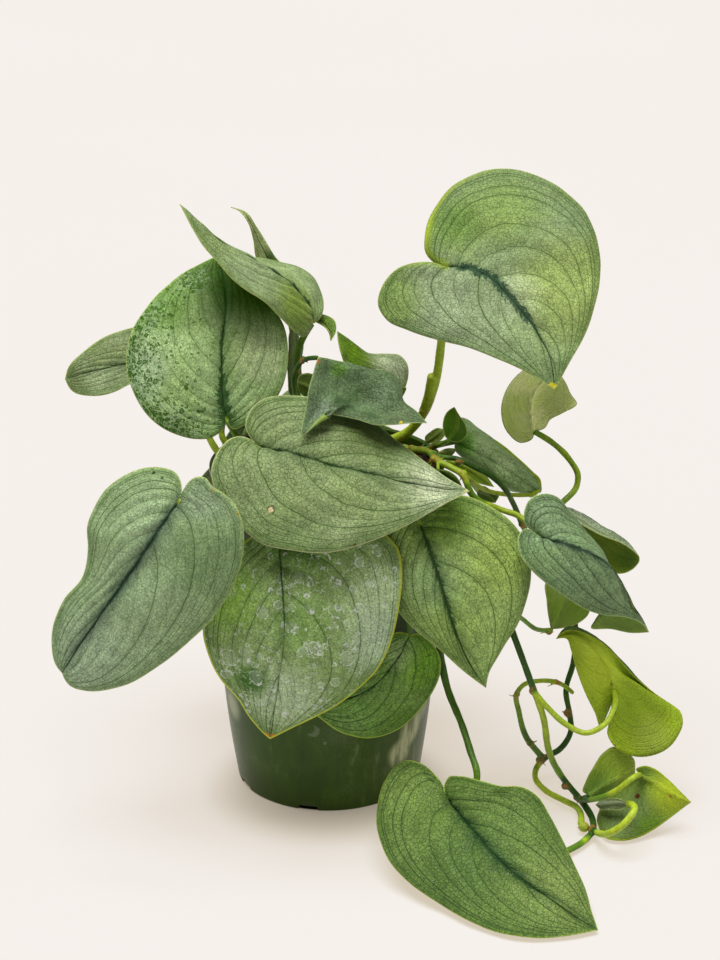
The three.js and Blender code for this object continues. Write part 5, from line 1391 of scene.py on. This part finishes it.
def water_rings(g, strength):
    """The dried outlines of water drops: a few large, more small, all broken."""
    broken = g.step(g.noise(3.2, 3, 0.6), 0.44, 0.58)
    total = 0.0
    for size, least, largest, kept in DROPS:
        drops = g.cells(size, g.warped(0.16 * size, 0.5 * size))
        luck = g.red_of(drops.outputs["Color"])
        beyond = g.math("SUBTRACT", drops.outputs["Distance"], g.step(luck, kept, 1.0, least, largest))
        ring = g.fall(g.math("ABSOLUTE", beyond), 0.1 / size, 0.45 / size)
        inside = g.step(beyond, -0.06, 0.0, 0.16, 0.0)
        drop = g.product(g.total(g.product(ring, broken), inside), g.step(luck, kept - 0.02, kept + 0.02))
        total = g.math("MAXIMUM", drop, total)
    curls = g.borders(5.5, g.warped(2.4, 3.4))
    patches = g.step(g.noise(14, 2), 0.4, 0.6, 0.15, 1.0)
    pale_wash = g.product(g.step(curls, 0.0, 0.055, 0.85, 0.0), broken, patches)
    return g.math("MINIMUM", g.product(g.math("MAXIMUM", total, pale_wash), strength), 0.85)


def stem_material():
    """Stems from deep green to lime by their tone, finely ridged, with tan scars at their nodes."""
    g = Graph("stem")
    tone = g.attribute("tone")
    knot = g.attribute("knot")
    streak = g.noise(2.2, 3, 0.6)
    broad = g.noise(16, 2)
    shade = g.total(tone, g.math("MULTIPLY_ADD", broad, 0.5, -0.25))
    colour = g.mix(g.step(shade, 0.05, 0.55), srgb("#2c5212"), srgb("#6b9420"))
    colour = g.painted(colour, (g.step(shade, 0.5, 0.95), "#a9bf30"))
    scar = g.product(g.fall(knot, 1.6, 4.2), g.step(g.noise(2.6, 3), 0.40, 0.56))
    colour = g.painted(
        g.shaded(colour, streak, 0.82, 1.16),
        (g.product(scar, 0.85), "#a9713a"),
        (g.product(g.dots(1.9, 0.12, 0.2, 0.7, 0.8), 0.4), "#c3cf74"),
    )
    height = g.total(streak, g.product(g.noise(0.7, 2), 0.4), g.product(scar, 0.7))
    roughness = g.step(streak, 0.3, 0.7, 0.34, 0.5)
    return g.surface(colour, roughness, height, 0.35, 0.7, Specular_IOR_Level=0.3)


def pot_material():
    """Thin dark green plastic: faint mould streaks, dust, scuffs, scratches and pale dried runs of water,
    with painted highlights at its sides.
    """
    g = Graph("pot")
    stretched = g.vector("MULTIPLY", g.place, (1.0, 1.0, 0.16)).outputs[0]
    streak = g.noise(5, 4, 0.6, stretched)
    broad = g.noise(38, 3)
    dust = g.noise(1.6, 4, 0.7)
    scuff = g.product(
        g.near(on_pot(313, 731), 4.6, 1.2),
        g.math("SUBTRACT", 1.0, g.near(on_pot(308, 728), 4.6, 1.0)),
    )
    scuff = g.total(scuff, g.near(on_pot(325, 743), 1.3, 0.6))
    # Painted highlights: pale streaky patches on the pot's right side and left edge stand for the sheen of
    # the bright floor; the last, broad term is pale dried runs of water
    runs = g.step(streak, 0.36, 0.6, 0.3, 1.2)
    pale_wash = g.total(
        g.product(g.near(on_pot(400, 752), 12), runs),
        g.product(g.near(on_pot(411, 730), 13), runs),
        g.product(g.near(on_pot(422, 708), 12), 0.42),
        g.product(g.near(on_pot(233, 705), 12), 0.55),
        g.product(g.step(streak, 0.55, 0.75), g.step(broad, 0.5, 0.62), 0.2),
    )
    speck = g.dots(1.5, 0.08, 0.16, 0.62, 0.72)
    scratch = g.borders(26, g.warped(5, 16))
    scratched = g.product(g.fall(scratch, 0.002, 0.008), g.step(g.noise(12, 3), 0.54, 0.64))
    colour = g.mix(g.step(broad, 0.35, 0.65), srgb("#2b4600"), srgb("#355200"))
    colour = g.painted(
        g.shaded(colour, streak, 0.88, 1.12),
        (g.step(g.product(dust, g.step(broad, 0.4, 0.7)), 0.3, 0.5, 0.0, 0.10), "#8d9476"),
        (g.product(scuff, 0.3), "#93a085"),
        # Pale tint of the painted highlights and of the dried runs of water
        (g.math("MINIMUM", pale_wash, 0.85), "#c0c69c"),
        (g.product(speck, g.step(broad, 0.3, 0.6, 0.06, 0.28)), "#a3ac86"),
        (g.product(scratched, 0.2), "#6c7a50"),
    )
    height = g.total(g.product(streak, 0.5), g.product(dust, 0.25), g.product(broad, 1.5))
    roughness = g.total(g.step(dust, 0.3, 0.7, 0.27, 0.40), g.product(scratched, 0.1))
    return g.surface(colour, roughness, height, 0.12, 0.6, Specular_IOR_Level=0.24)


def soil_material():
    """Peat and bark: near black to red brown, some chunks paler, streaked by fine fibre."""
    g = Graph("soil")
    chunk = g.red_of(g.cells(3.4).outputs["Color"])
    fibre = g.noise(1.0, 4, 0.7)
    colour = g.mix(g.step(chunk, 0.2, 0.8), srgb("#2a1b13"), srgb("#533626"))
    colour = g.painted(colour, (g.step(chunk, 0.82, 0.95), "#7a5a3f"))
    colour = g.shaded(colour, fibre, 0.55, 1.35, span=(0.25, 0.75))
    return g.surface(colour, g.step(fibre, 0.3, 0.7, 0.8, 0.95), g.total(fibre, g.noise(0.4, 2)), 0.5)


def perlite_material():
    """White expanded grains, a little stained by the peat."""
    g = Graph("perlite")
    stain = g.noise(1.4, 3)
    colour = g.mix(g.step(stain, 0.4, 0.7), srgb("#d9d5c8"), srgb("#a39078"))
    return g.surface(colour, g.step(stain, 0.3, 0.7, 0.75, 0.9), g.noise(0.35, 2), 0.3)


def floor_material():
    """Pale warm paper that glows a little as painted fill light, so its shadows stay light; round the pot's
    foot a painted contact shadow makes it darker and dimmer. Right under the pot it is painted dark as shade,
    as the drain notches show."""
    g = Graph("floor")
    tone = g.noise(900, 2)
    # Painted contact shadow: darker and less glow towards the pot's foot, centred a little to the front
    clear_of_foot_shade = g.step(g.distance(0, -FOOT_SHADE_SHIFT, 0), POT_BASE_R * 0.8 * MM, POT_BASE_R * 1.5 * MM)
    from_axis = g.vector("LENGTH", g.place).outputs["Value"]
    # Painted shade: right under the pot the floor is dark
    painted_shade_under_pot = g.fall(from_axis, (POT_BASE_R - 2.2) * MM, (POT_BASE_R - 0.6) * MM)
    colour = g.shaded(g.mix(clear_of_foot_shade, FOOT_SHADE_COLOUR, FLOOR_COLOUR), tone, 0.99, 1.01)
    colour = g.mix(painted_shade_under_pot, colour, UNDER_POT_SHADE_COLOUR)
    glow = g.product(
        g.math("MULTIPLY_ADD", clear_of_foot_shade, 1 - FOOT_SHADE_GLOW, FOOT_SHADE_GLOW),
        g.math("SUBTRACT", 1.0, painted_shade_under_pot),
    )
    return g.surface(colour, g.step(tone, 0.3, 0.7, 0.85, 0.9), g.noise(2, 2), 0.02, 0.2,
                     Specular_IOR_Level=0.1, Emission_Color=FLOOR_GLOW, Emission_Strength=glow)


def add_floor():
    far = FLOOR_HALF_M
    mesh = bpy.data.meshes.new("floor")
    mesh.from_pydata([(-far, -far, 0), (far, -far, 0), (far, far, 0), (-far, far, 0)], [], [(0, 1, 2, 3)])
    mesh.materials.append(floor_material())
    linked("floor", mesh)


def light_scene():
    """A white tent: even light from all round, and one broad key from nearly overhead."""
    scene = bpy.context.scene
    scene.view_settings.view_transform = "Standard"
    world = bpy.data.worlds.new("tent")
    scene.world = world
    world.use_nodes = True
    tent = world.node_tree.nodes["Background"]
    tent.inputs["Color"].default_value = TENT_COLOUR
    tent.inputs["Strength"].default_value = TENT
    key = bpy.data.lights.new("key", "SUN")
    key.energy = KEY
    key.angle = math.radians(KEY_SPREAD)
    key.color = KEY_COLOUR
    linked("key", key).rotation_euler = Vector(KEY_WAY).to_track_quat("-Z", "Y").to_euler()


# How each leaf departs from the plain look. A blotch is (photo pixel, radius in mm, tint, strength); many of
# these are painted shadow and painted light, the rest the leaf's own patches. A spot is (photo pixel, radius,
# tint), a strip along the margin is (photo pixel, reach, width, tint) and a speckled zone is (photo pixel,
# radius).
LOOKS = {
    "leaf_top_right": dict(
        top="#889d6e", warm="#90a854", vein="#44642c", band="#17402a", band_mm=2.7, band_end=0.75, halo=0.25,
        spike=1.0, soft=0.7, halo_mm=3.6, band_base=0.6, net=0.75,
        blotches_and_painted_light=[((521, 296), 20, "#cfe0b0", 0.8), ((575, 290), 46, "#a9bd68", 0.75),
                  ((500, 205), 34, "#8aa552", 0.7), ((470, 320), 46, "#a1b48b", 0.8),
                  ((440, 290), 30, "#a0b18d", 0.6), ((388, 300), 26, "#8faa5d", 0.8),
                  ((452, 222), 24, "#6c8e3a", 0.8)],
        strips=[((447, 221), 50, 3.6, "#a2b83a"), ((432, 240), 26, 4.5, "#9cb430")],
        spots=[((551, 388), 3.6, "#c9c52c")],
    ),
    "leaf_top_left": dict(
        top="#9db37d", warm="#96ac63", band_mm=1.5, halo=0.15, spike=0.5, net=0.45, lateral=0.6,
        blotches_and_painted_light=[((300, 310), 26, "#8eaa39", 0.8), ((250, 270), 22, "#a7ba8d", 0.5)],
        spots=[((313, 322), 1.6, "#c9c83a")],
    ),
    "leaf_top_curl": dict(
        # Its pale colours are partly painted light: the blade stands nearly edge-on to the key
        top="#dbe99e", warm="#d3e48c", under="#cfe08e", under_deep="#bccf6e", band_mm=0.3, net=0.3,
        lateral=0.4, blotches_and_painted_light=[((276, 256), 8, "#4f7c16", 0.9)],
    ),
    "leaf_speckled": dict(
        top="#a9c688", warm="#8aab4e", vein="#3f6418", border="#6d9e2d", band="#1a480f", band_mm=1.5,
        band_base=3.0, band_grow=0.34, band_end=0.7, halo=0.3, net=0.65, lateral=0.7, spike=1.0, soft=0.7,
        # The two dark blotches at the top are painted shadow of the leaf above over the blade's own darker
        # green; the pale one below them is painted light
        blotches_and_painted_light=[((240, 276), 44, "#2e4f00", 1.0), ((262, 296), 20, "#3a5f02", 0.85),
                  ((262, 354), 22, "#cfe3a8", 0.85), ((160, 300), 24, "#619222", 0.6),
                  ((135, 372), 26, "#b6cca8", 0.6)],
        speckle=[((140, 355), 50), ((160, 415), 38), ((195, 282), 16)],
    ),
    "leaf_back_left": dict(
        top="#87946a", warm="#839156", spike=0.4, soft=0.5, net=0.5, lateral=0.5,
        blotches_and_painted_light=[((108, 384), 18, "#aabb90", 0.8), ((120, 385), 16, "#6f7c51", 0.5)],
    ),
    "leaf_centre": dict(
        top="#899b6a", warm="#879a5b", band="#25441c", band_mm=1.1, band_end=0.8, halo=0.35, spike=0.9,
        soft=0.5, margin="#c3cb8e", margin_mm=0.5,
        # The pale blotch at the tip is a painted highlight; the dark one under the crumpled leaf is painted
        # shadow
        blotches_and_painted_light=[((452, 486), 36, "#d7e1bb", 1.0), ((372, 430), 34, "#63733f", 0.85),
                  ((290, 540), 26, "#78905d", 0.5), ((343, 530), 12, "#9cad7d", 0.7)],
        spots=[((271, 508), 2.9, "#56663a"), ((272, 508), 2.2, "#dcc79c"), ((299, 479), 1.1, "#4e3a22"),
               ((467, 491), 2.2, "#c0c07a"), ((360, 549), 1.4, "#5a5a2a"), ((343, 539), 0.9, "#3a4a20"),
               ((339, 533), 0.7, "#3a4a20")],
    ),
    "leaf_crumpled": dict(
        top="#627a53", warm="#66794a", vein="#33482f", border="#657b50", margin="#9aae6c", band_mm=0.0,
        halo=0.0, rib=0.0, lateral=0.25,
        blotches_and_painted_light=[((385, 392), 12, "#758d67", 0.9), ((400, 415), 18, "#6e7f59", 0.6),
                  ((322, 410), 12, "#7c8e75", 0.8), ((356, 390), 9, "#2f4f17", 0.9),
                  ((340, 368), 7, "#588024", 0.9), ((345, 400), 10, "#39532f", 0.8),
                  ((372, 412), 8, "#445d35", 0.7)],
        spots=[((314, 357), 2.4, "#8a5a33"), ((402, 421), 1.4, "#c9b23a")],
    ),
    "leaf_pale_fold": dict(
        top="#8e9d6c", warm="#8ba052", band_mm=0.0, halo=0.0, rib=0.0, net=0.5, lateral=0.4,
        # The dark green on the left fold is partly painted shade, the pale right fold partly painted light
        blotches_and_painted_light=[((350, 352), 24, "#678a10", 1.0), ((342, 340), 14, "#6f9414", 1.0),
                  ((396, 364), 22, "#bfcba6", 0.9)],
    ),
    "leaf_small_curl": dict(top="#83a032", warm="#8fae2a", under="#7c9c2e", band_mm=0.4, halo=0.0),
    "leaf_edge_on": dict(
        top="#6d8c1c", warm="#76921e", under="#82a022", under_deep="#6d8a1e", band_mm=0.3, halo=0.0, net=0.4,
        lateral=0.5,
    ),
    "leaf_olive_back": dict(
        top="#6f8838", warm="#6f8838", under="#6f8838", under_deep="#5a7428", band_mm=0.3, halo=0.0,
    ),
    "leaf_left": dict(
        top="#a0b88d", warm="#9ab677", band="#1f3c2e", band_mm=1.1, band_end=0.8, halo=0.6, spike=0.6,
        soft=1.1, halo_mm=7.5, net=0.8, lateral=0.8,
        # The pale lower lobe is painted light, the darker part at the right painted shade
        blotches_and_painted_light=[((85, 660), 40, "#b3cba8", 0.7), ((205, 560), 36, "#7a9662", 0.7),
                  ((200, 500), 18, "#97a892", 0.5)],
        spots=[((211, 489), 1.2, "#a08c3c"), ((236, 514), 1.2, "#a08c3c"), ((153, 472), 1.5, "#33502a"),
               ((160, 478), 1.3, "#33502a")],
    ),
    "leaf_front": dict(
        top="#96b36e", warm="#9aba68", border="#8cba40", margin="#d2da3c", margin_mm=1.1, net=0.7,
        band="#2c4a1a", band_mm=0.6, band_end=0.4, halo=0.35, spike=0.4, soft=0.4, rings=1.1, rib_end=0.5,
        # The pale bluish blotches are painted sheen; the dark one at the top is painted shadow of the leaf
        # above, the small deep green one painted shade in a dent
        blotches_and_painted_light=[((385, 600), 30, "#cfe8b2", 0.85), ((284, 698), 32, "#c9dfb2", 0.85),
                  ((252, 681), 15, "#4c7c22", 1.0), ((300, 625), 22, "#84ad55", 0.6),
                  ((385, 640), 30, "#c3d9b6", 0.85), ((225, 600), 26, "#a6d555", 0.75),
                  ((300, 545), 30, "#648c3a", 0.8)],
        spots=[((266, 738), 1.8, "#d08a2a"), ((273, 739), 1.8, "#d08a2a")],
    ),
    "leaf_front_low": dict(
        top="#7fa450", warm="#76a434", warm_share=0.8, border="#72ae27", margin="#a3b93a", vein="#2c4a18",
        band_mm=0.6, halo=0.2, margin_mm=0.8, spike=0.4,
        # The pale blotch at the top is painted light where leaves above shade the blade
        blotches_and_painted_light=[((403, 655), 14, "#b7d48f", 0.8), ((360, 720), 22, "#8dbc6a", 0.5),
                  ((430, 660), 22, "#88c427", 0.6)],
    ),
    "leaf_front_right": dict(
        top="#a3bf6e", warm="#a5c660", band="#24451a", band_mm=1.5, band_end=0.85, halo=0.4, spike=0.9,
        soft=0.6,
        # The dark blotch at the upper left is painted shadow of the leaf above
        blotches_and_painted_light=[((440, 512), 32, "#688c2a", 0.95), ((505, 560), 30, "#b4ce68", 0.7),
                  ((430, 585), 26, "#9cba80", 0.7)],
    ),
    "leaf_floor_front": dict(
        top="#68833e", warm="#648039", vein="#2c4a20", border="#62822f", margin="#a6bd4c", band="#1f401c",
        band_mm=1.9, band_end=0.9, halo=0.5, spike=1.0, soft=0.6,
        blotches_and_painted_light=[((400, 790), 30, "#839d50", 0.85), ((470, 860), 36, "#526e33", 0.75),
                  ((565, 890), 40, "#849a52", 0.8)],
    ),
    "leaf_back_right": dict(
        # Its near white back is painted light shining through the blade from behind
        top="#8b9f50", under="#ffffc7", under_deep="#ecff8f", under_vein="#feffbf",
        under_blotches_and_painted_light=[((557, 397), 24, "#a2b461", 0.8)],
    ),
    "leaf_rolled": dict(
        top="#accf8b", warm="#9fc577", vein="#40583c", band_mm=0.0, halo=0.0, rib=0.0, lateral=0.3,
        under="#7f9a2c", margin="#8fae2c",
        # The two pale blotches are a painted highlight along the top of the roll
        blotches_and_painted_light=[((466, 440), 12, "#77b92e", 0.85), ((505, 463), 10, "#d9f5b3", 0.9),
                  ((484, 445), 11, "#d4f2af", 0.85)],
    ),
    "leaf_lime_mouth": dict(
        under="#5f8a12", under_deep="#4c7410", under_vein="#86a030", top="#6f9626", halo=0.0,
    ),
    "leaf_pale_small": dict(under="#8fa54a", under_deep="#7d9638", top="#8fa54a", halo=0.0),
    "leaf_olive_low": dict(halo=0.0, top="#6f8a3a", warm="#6f8a3a", under="#8a9c55", under_deep="#7a8f3c"),
    "leaf_young": dict(under="#9dbb3c", under_deep="#84a42a", under_vein="#bccf5a", top="#9dbb3c", halo=0.0),
    "leaf_olive_front": dict(top="#5d7a1c", warm="#6b8a20", under="#7a9426", band_mm=0.4, halo=0.0),
    "leaf_olive_under": dict(under="#5f7c1a", under_deep="#4f6c14", top="#5f7c1a", halo=0.0),
    "leaf_right": dict(
        top="#84a070", warm="#7d9a60", vein="#33492f", band="#1c3526", band_mm=1.5, band_end=0.75, halo=0.35,
        spike=0.7, soft=0.4, halo_mm=4.5, margin="#a9bf7a",
        blotches_and_painted_light=[((545, 515), 24, "#8aa57a", 0.6), ((625, 605), 26, "#829a6f", 0.6)],
    ),
    "leaf_right_back": dict(
        # Its pale top is partly painted highlight
        top="#d8e8c4", warm="#cddcae", band_mm=0.6, under="#788f14", under_deep="#5d7712", under_rib=0.4,
        under_blotches_and_painted_light=[((627, 560), 12, "#4a6a0c", 0.8)],
    ),
    "leaf_right_low": dict(
        top="#5a7631", under="#92a563", under_deep="#809e36", under_rib=0.3,
        under_blotches_and_painted_light=[((585, 605), 20, "#73942b", 0.7)],
    ),
    "leaf_lime_hanging": dict(
        top="#35551c", under="#aecb30", under_deep="#94b024", under_vein="#c5d74b", margin="#bccb38",
        # The bright lime blotches are painted light on the flap turned from the key; the olive ones at the
        # right are painted shade
        under_blotches_and_painted_light=[((598, 645), 22, "#c8e044", 1.0), ((602, 674), 20, "#c8e040", 1.0),
                        ((640, 712), 28, "#829c22", 0.9), ((655, 736), 18, "#93a73c", 0.8)],
    ),
    "leaf_floor_right": dict(
        top="#55753a", under="#86a133", under_deep="#718f37", under_vein="#abbc3b", margin="#a8c02a",
        margin_mm=0.9,
        under_blotches_and_painted_light=[((625, 812), 26, "#73894f", 0.95), ((680, 790), 24, "#b1c42b", 0.9),
                        ((655, 832), 16, "#5a7f12", 0.8), ((600, 765), 16, "#819a3f", 0.6)],
        spots=[((636, 795), 2.2, "#5a3a16"), ((670, 798), 1.5, "#a8862a")],
    ),
    "leaf_floor_back": dict(
        top="#55753a", under="#aec846", under_deep="#97b63f", under_vein="#e2f660",
        under_blotches_and_painted_light=[((600, 795), 20, "#80a547", 0.9)],
    ),
    "leaf_floor_small": dict(top="#8a9a72", under="#8a9678", under_deep="#7b8a62", under_vein="#a0a98c"),
}

# Tone of the stems, from deep green (0) to lime (1), at places along them
TONES = {
    "stem_left": [
        (V(-36, 4, 200), 0.7), (at(212, 443, 8), 0.95), (at(221, 456, 2), 0.9), (V(-48, -44, 209), 0.6),
    ],
    "stem_centre": [
        (V(-12, -12, 220), 0.4), (at(297, 402, -10), 0.3), (at(294, 376, -10), 0.28),
        (at(301, 362, -16), 0.12), (V(-20, -66, 207), 0.5),
    ],
    "stem_back": [
        (at(298, 400, 4), 0.35), (at(296, 370, 1), 0.35), (at(298, 350, 2), 0.4), (at(303, 330, 15), 0.4),
        (V(2, 26, 203), 0.4), (V(-12, 52, 206), 0.6),
    ],
    "stem_back_left": [(V(-38, 48, 206), 0.6)],
    "stem_tall": [
        (V(34, 34, 202), 0.95), (at(400, 437, 32), 1.0), (at(412, 425, 28), 1.0), (at(424, 410, 23), 0.95),
        (at(434, 387, 18), 0.92), (at(441, 345, 12), 0.85), (at(444, 305, 14), 0.75),
    ],
    "stem_right": [
        (V(26, -22, 201), 0.5), (V(57, -46, 208), 0.4), (at(438, 640, -50), 0.22), (at(448, 690, -56), 0.22),
        (at(462, 725, -68), 0.25), (at(477, 778, -93), 0.3),
    ],
    "vine_front": [
        (V(46, -4, 202), 0.7), (V(62, -37, 207), 0.5), (at(505, 612, -56), 0.1), (at(514, 636, -60), 0.1),
        (at(522, 660, -63), 0.1), (at(530, 682, -65), 0.1), (at(538, 700, -67), 0.85),
        (at(543, 716, -68), 0.85), (at(549, 751, -66), 0.75), (at(557, 768, -62), 0.45),
        (at(566, 783, -57), 0.1), (low(580, 800, 10), 0.02), (low(588, 812, 7), 0.02),
        (low(592, 832, 4.5), 0.1), (low(569, 850, 4), 0.3), (at(510, 612, -48), 0.5),
        (at(521, 618, -40), 0.5), (at(536, 629, -30), 0.45), (at(548, 708, -70), 0.85),
        (at(567, 725, -75), 0.8), (at(586, 733, -78), 0.95), (at(604, 725, -76), 0.95),
        (at(614, 708, -66), 0.9), (low(601, 834, 9), 1.1), (low(612, 832, 16), 1.15),
        (low(630, 815, 26), 1.0), (low(602, 797, 25), 0.6), (low(617, 790, 33), 0.95),
        (low(630, 780, 40), 0.95),
    ],
    "vine_back": [
        (V(46, 18, 202), 0.8), (V(56, 8, 207), 0.7), (at(441, 457, -8), 0.3), (at(458, 459, -11), 0.12),
        (at(474, 467, -13), 0.1), (at(491, 476, -14), 0.1), (at(504, 488, -13), 0.15),
        (at(513, 503, -8), 0.2), (at(520, 516, -4), 0.25), (at(538, 552, 6), 0.2), (at(573, 612, 6), 0.1),
        (at(576, 635, 4), 0.1), (at(573, 664, 2), 0.15), (at(566, 690, -4), 0.12), (at(570, 716, -10), 0.1),
        (at(571, 730, -13), 0.08), (at(560, 749, -15), 0.05), (at(547, 758, -16), 0.1),
        (low(537, 767, 8), 0.8), (low(535, 775, 6), 0.85), (low(545, 790, 4.5), 0.9),
        (low(563, 800, 4.5), 0.85), (low(576, 808, 4.5), 0.75), (low(581, 824, 5), 0.85),
        (at(536, 750, -18), 0.35), (at(528, 740, -20), 0.3), (at(519, 712, -24), 0.55),
        (at(517, 693, -27), 0.75), (at(525, 684, -29), 0.8), (at(538, 681, -30), 0.8),
        (at(556, 682, -29), 0.75), (at(570, 690, -26), 0.8), (V(60, 0, 208), 0.7), (at(438, 461, -15), 0.75),
        (at(452, 468, -21), 0.8), (at(463, 475, -25), 0.85), (at(471, 493, -28), 0.4),
        (at(479, 501, -28), 0.5), (at(491, 506, -27), 0.9), (at(505, 511, -28), 0.9),
        (at(517, 515, -32), 0.85), (at(478, 486, -15), 1.1), (at(492, 492, -6), 1.15),
        (at(503, 494, -2), 1.15), (at(515, 495, 1), 1.1), (at(531, 495, 3), 1.0), (at(540, 518, 4), 0.3),
        (at(545, 517, 8), 0.4), (at(563, 502, 16), 0.65), (at(577, 485, 24), 0.8), (at(578, 476, 26), 0.75),
        (at(569, 459, 30), 0.7), (at(556, 446, 31), 0.6), (at(417, 452, 16), 0.45), (at(430, 448, 18), 0.35),
        (V(50, 14, 205), 0.8),
    ],
}

# Swollen nodes with dry rootlets: (place, radius)
NODES = {
    "vine_front": [
        (at(533, 691, -66), 2.5), (at(565, 786, -58), 2.4), (low(577, 797, 7), 2.5),
        (low(592, 831, 4.6), 2.5), (at(549, 632, -22), 2.0),
    ],
    "vine_back": [
        (at(568, 713, -9), 2.8), (at(530, 743, -20), 2.3), (at(517, 694, -27), 2.1), (at(556, 682, -29), 1.9),
        (low(584, 827, 5), 3.3), (at(463, 474, -24), 2.7), (at(540, 760, -16), 2.8), (at(438, 461, -13), 2.8),
        (at(433, 459, -12), 2.2), (at(458, 463, -14), 2.0),
    ],
    "stem_centre": [(at(303, 359, -17), 1.9)],
    "stem_tall": [(at(425, 408, 23), 3.1)],
}

# The lime margin that turns over along the rolled leaf and hooks round its open end
ROLLED_LIP = [
    at(494, 441, 29), at(504, 448, 27), at(514, 457, 24), at(524, 466, 20), at(532, 474, 16),
    at(538, 480, 13), at(539, 487, 10), at(535, 493, 6), at(530, 495, 3),
]

# A blade's grid by its size in mm, largest first: (least size, rows, columns of its half)
GRIDS = [(70, 104, 30), (42, 72, 22), (24, 44, 14), (0, 26, 9)]


def grid_for(spec):
    """The rows of a blade's grid and the columns of its half."""
    ends = spec["midrib"][-1] - spec["midrib"][0]
    size = np.linalg.norm(ends)
    for least, rows, half in GRIDS:
        if size >= least:
            return rows, half


add_floor()
light_scene()
add_piece("pot_shell", pot_mesh(), pot_material(), ["pot"])
soil, perlite = soil_meshes()
add_piece("soil_fill", soil, soil_material(), ["soil"])
add_piece("perlite", perlite, perlite_material())
stem_look = stem_material()
for number, (name, spec) in enumerate(STEMS.items()):
    add_piece(name + "_skin", stem_mesh(name, spec, 500 + 20 * number), stem_look, [name])
for number, (name, spec) in enumerate(LEAVES.items()):
    rows, half = grid_for(spec)
    look = {**PLAIN_LOOK, **LOOKS.get(name, {})}
    mesh = blade_mesh(name, spec, rows, half, 40 * number)
    add_piece(name + "_blade", mesh, leaf_material(name, look), [name])

lip = mesh_from("lip", *tube(ROLLED_LIP, 1.1, 1.6, seed=71))
write_attribute(lip, "tone", np.full(len(lip.vertices), 0.95))
write_attribute(lip, "knot", np.full(len(lip.vertices), 9.0))
add_piece("leaf_rolled_lip", lip, stem_look, ["leaf_rolled"])
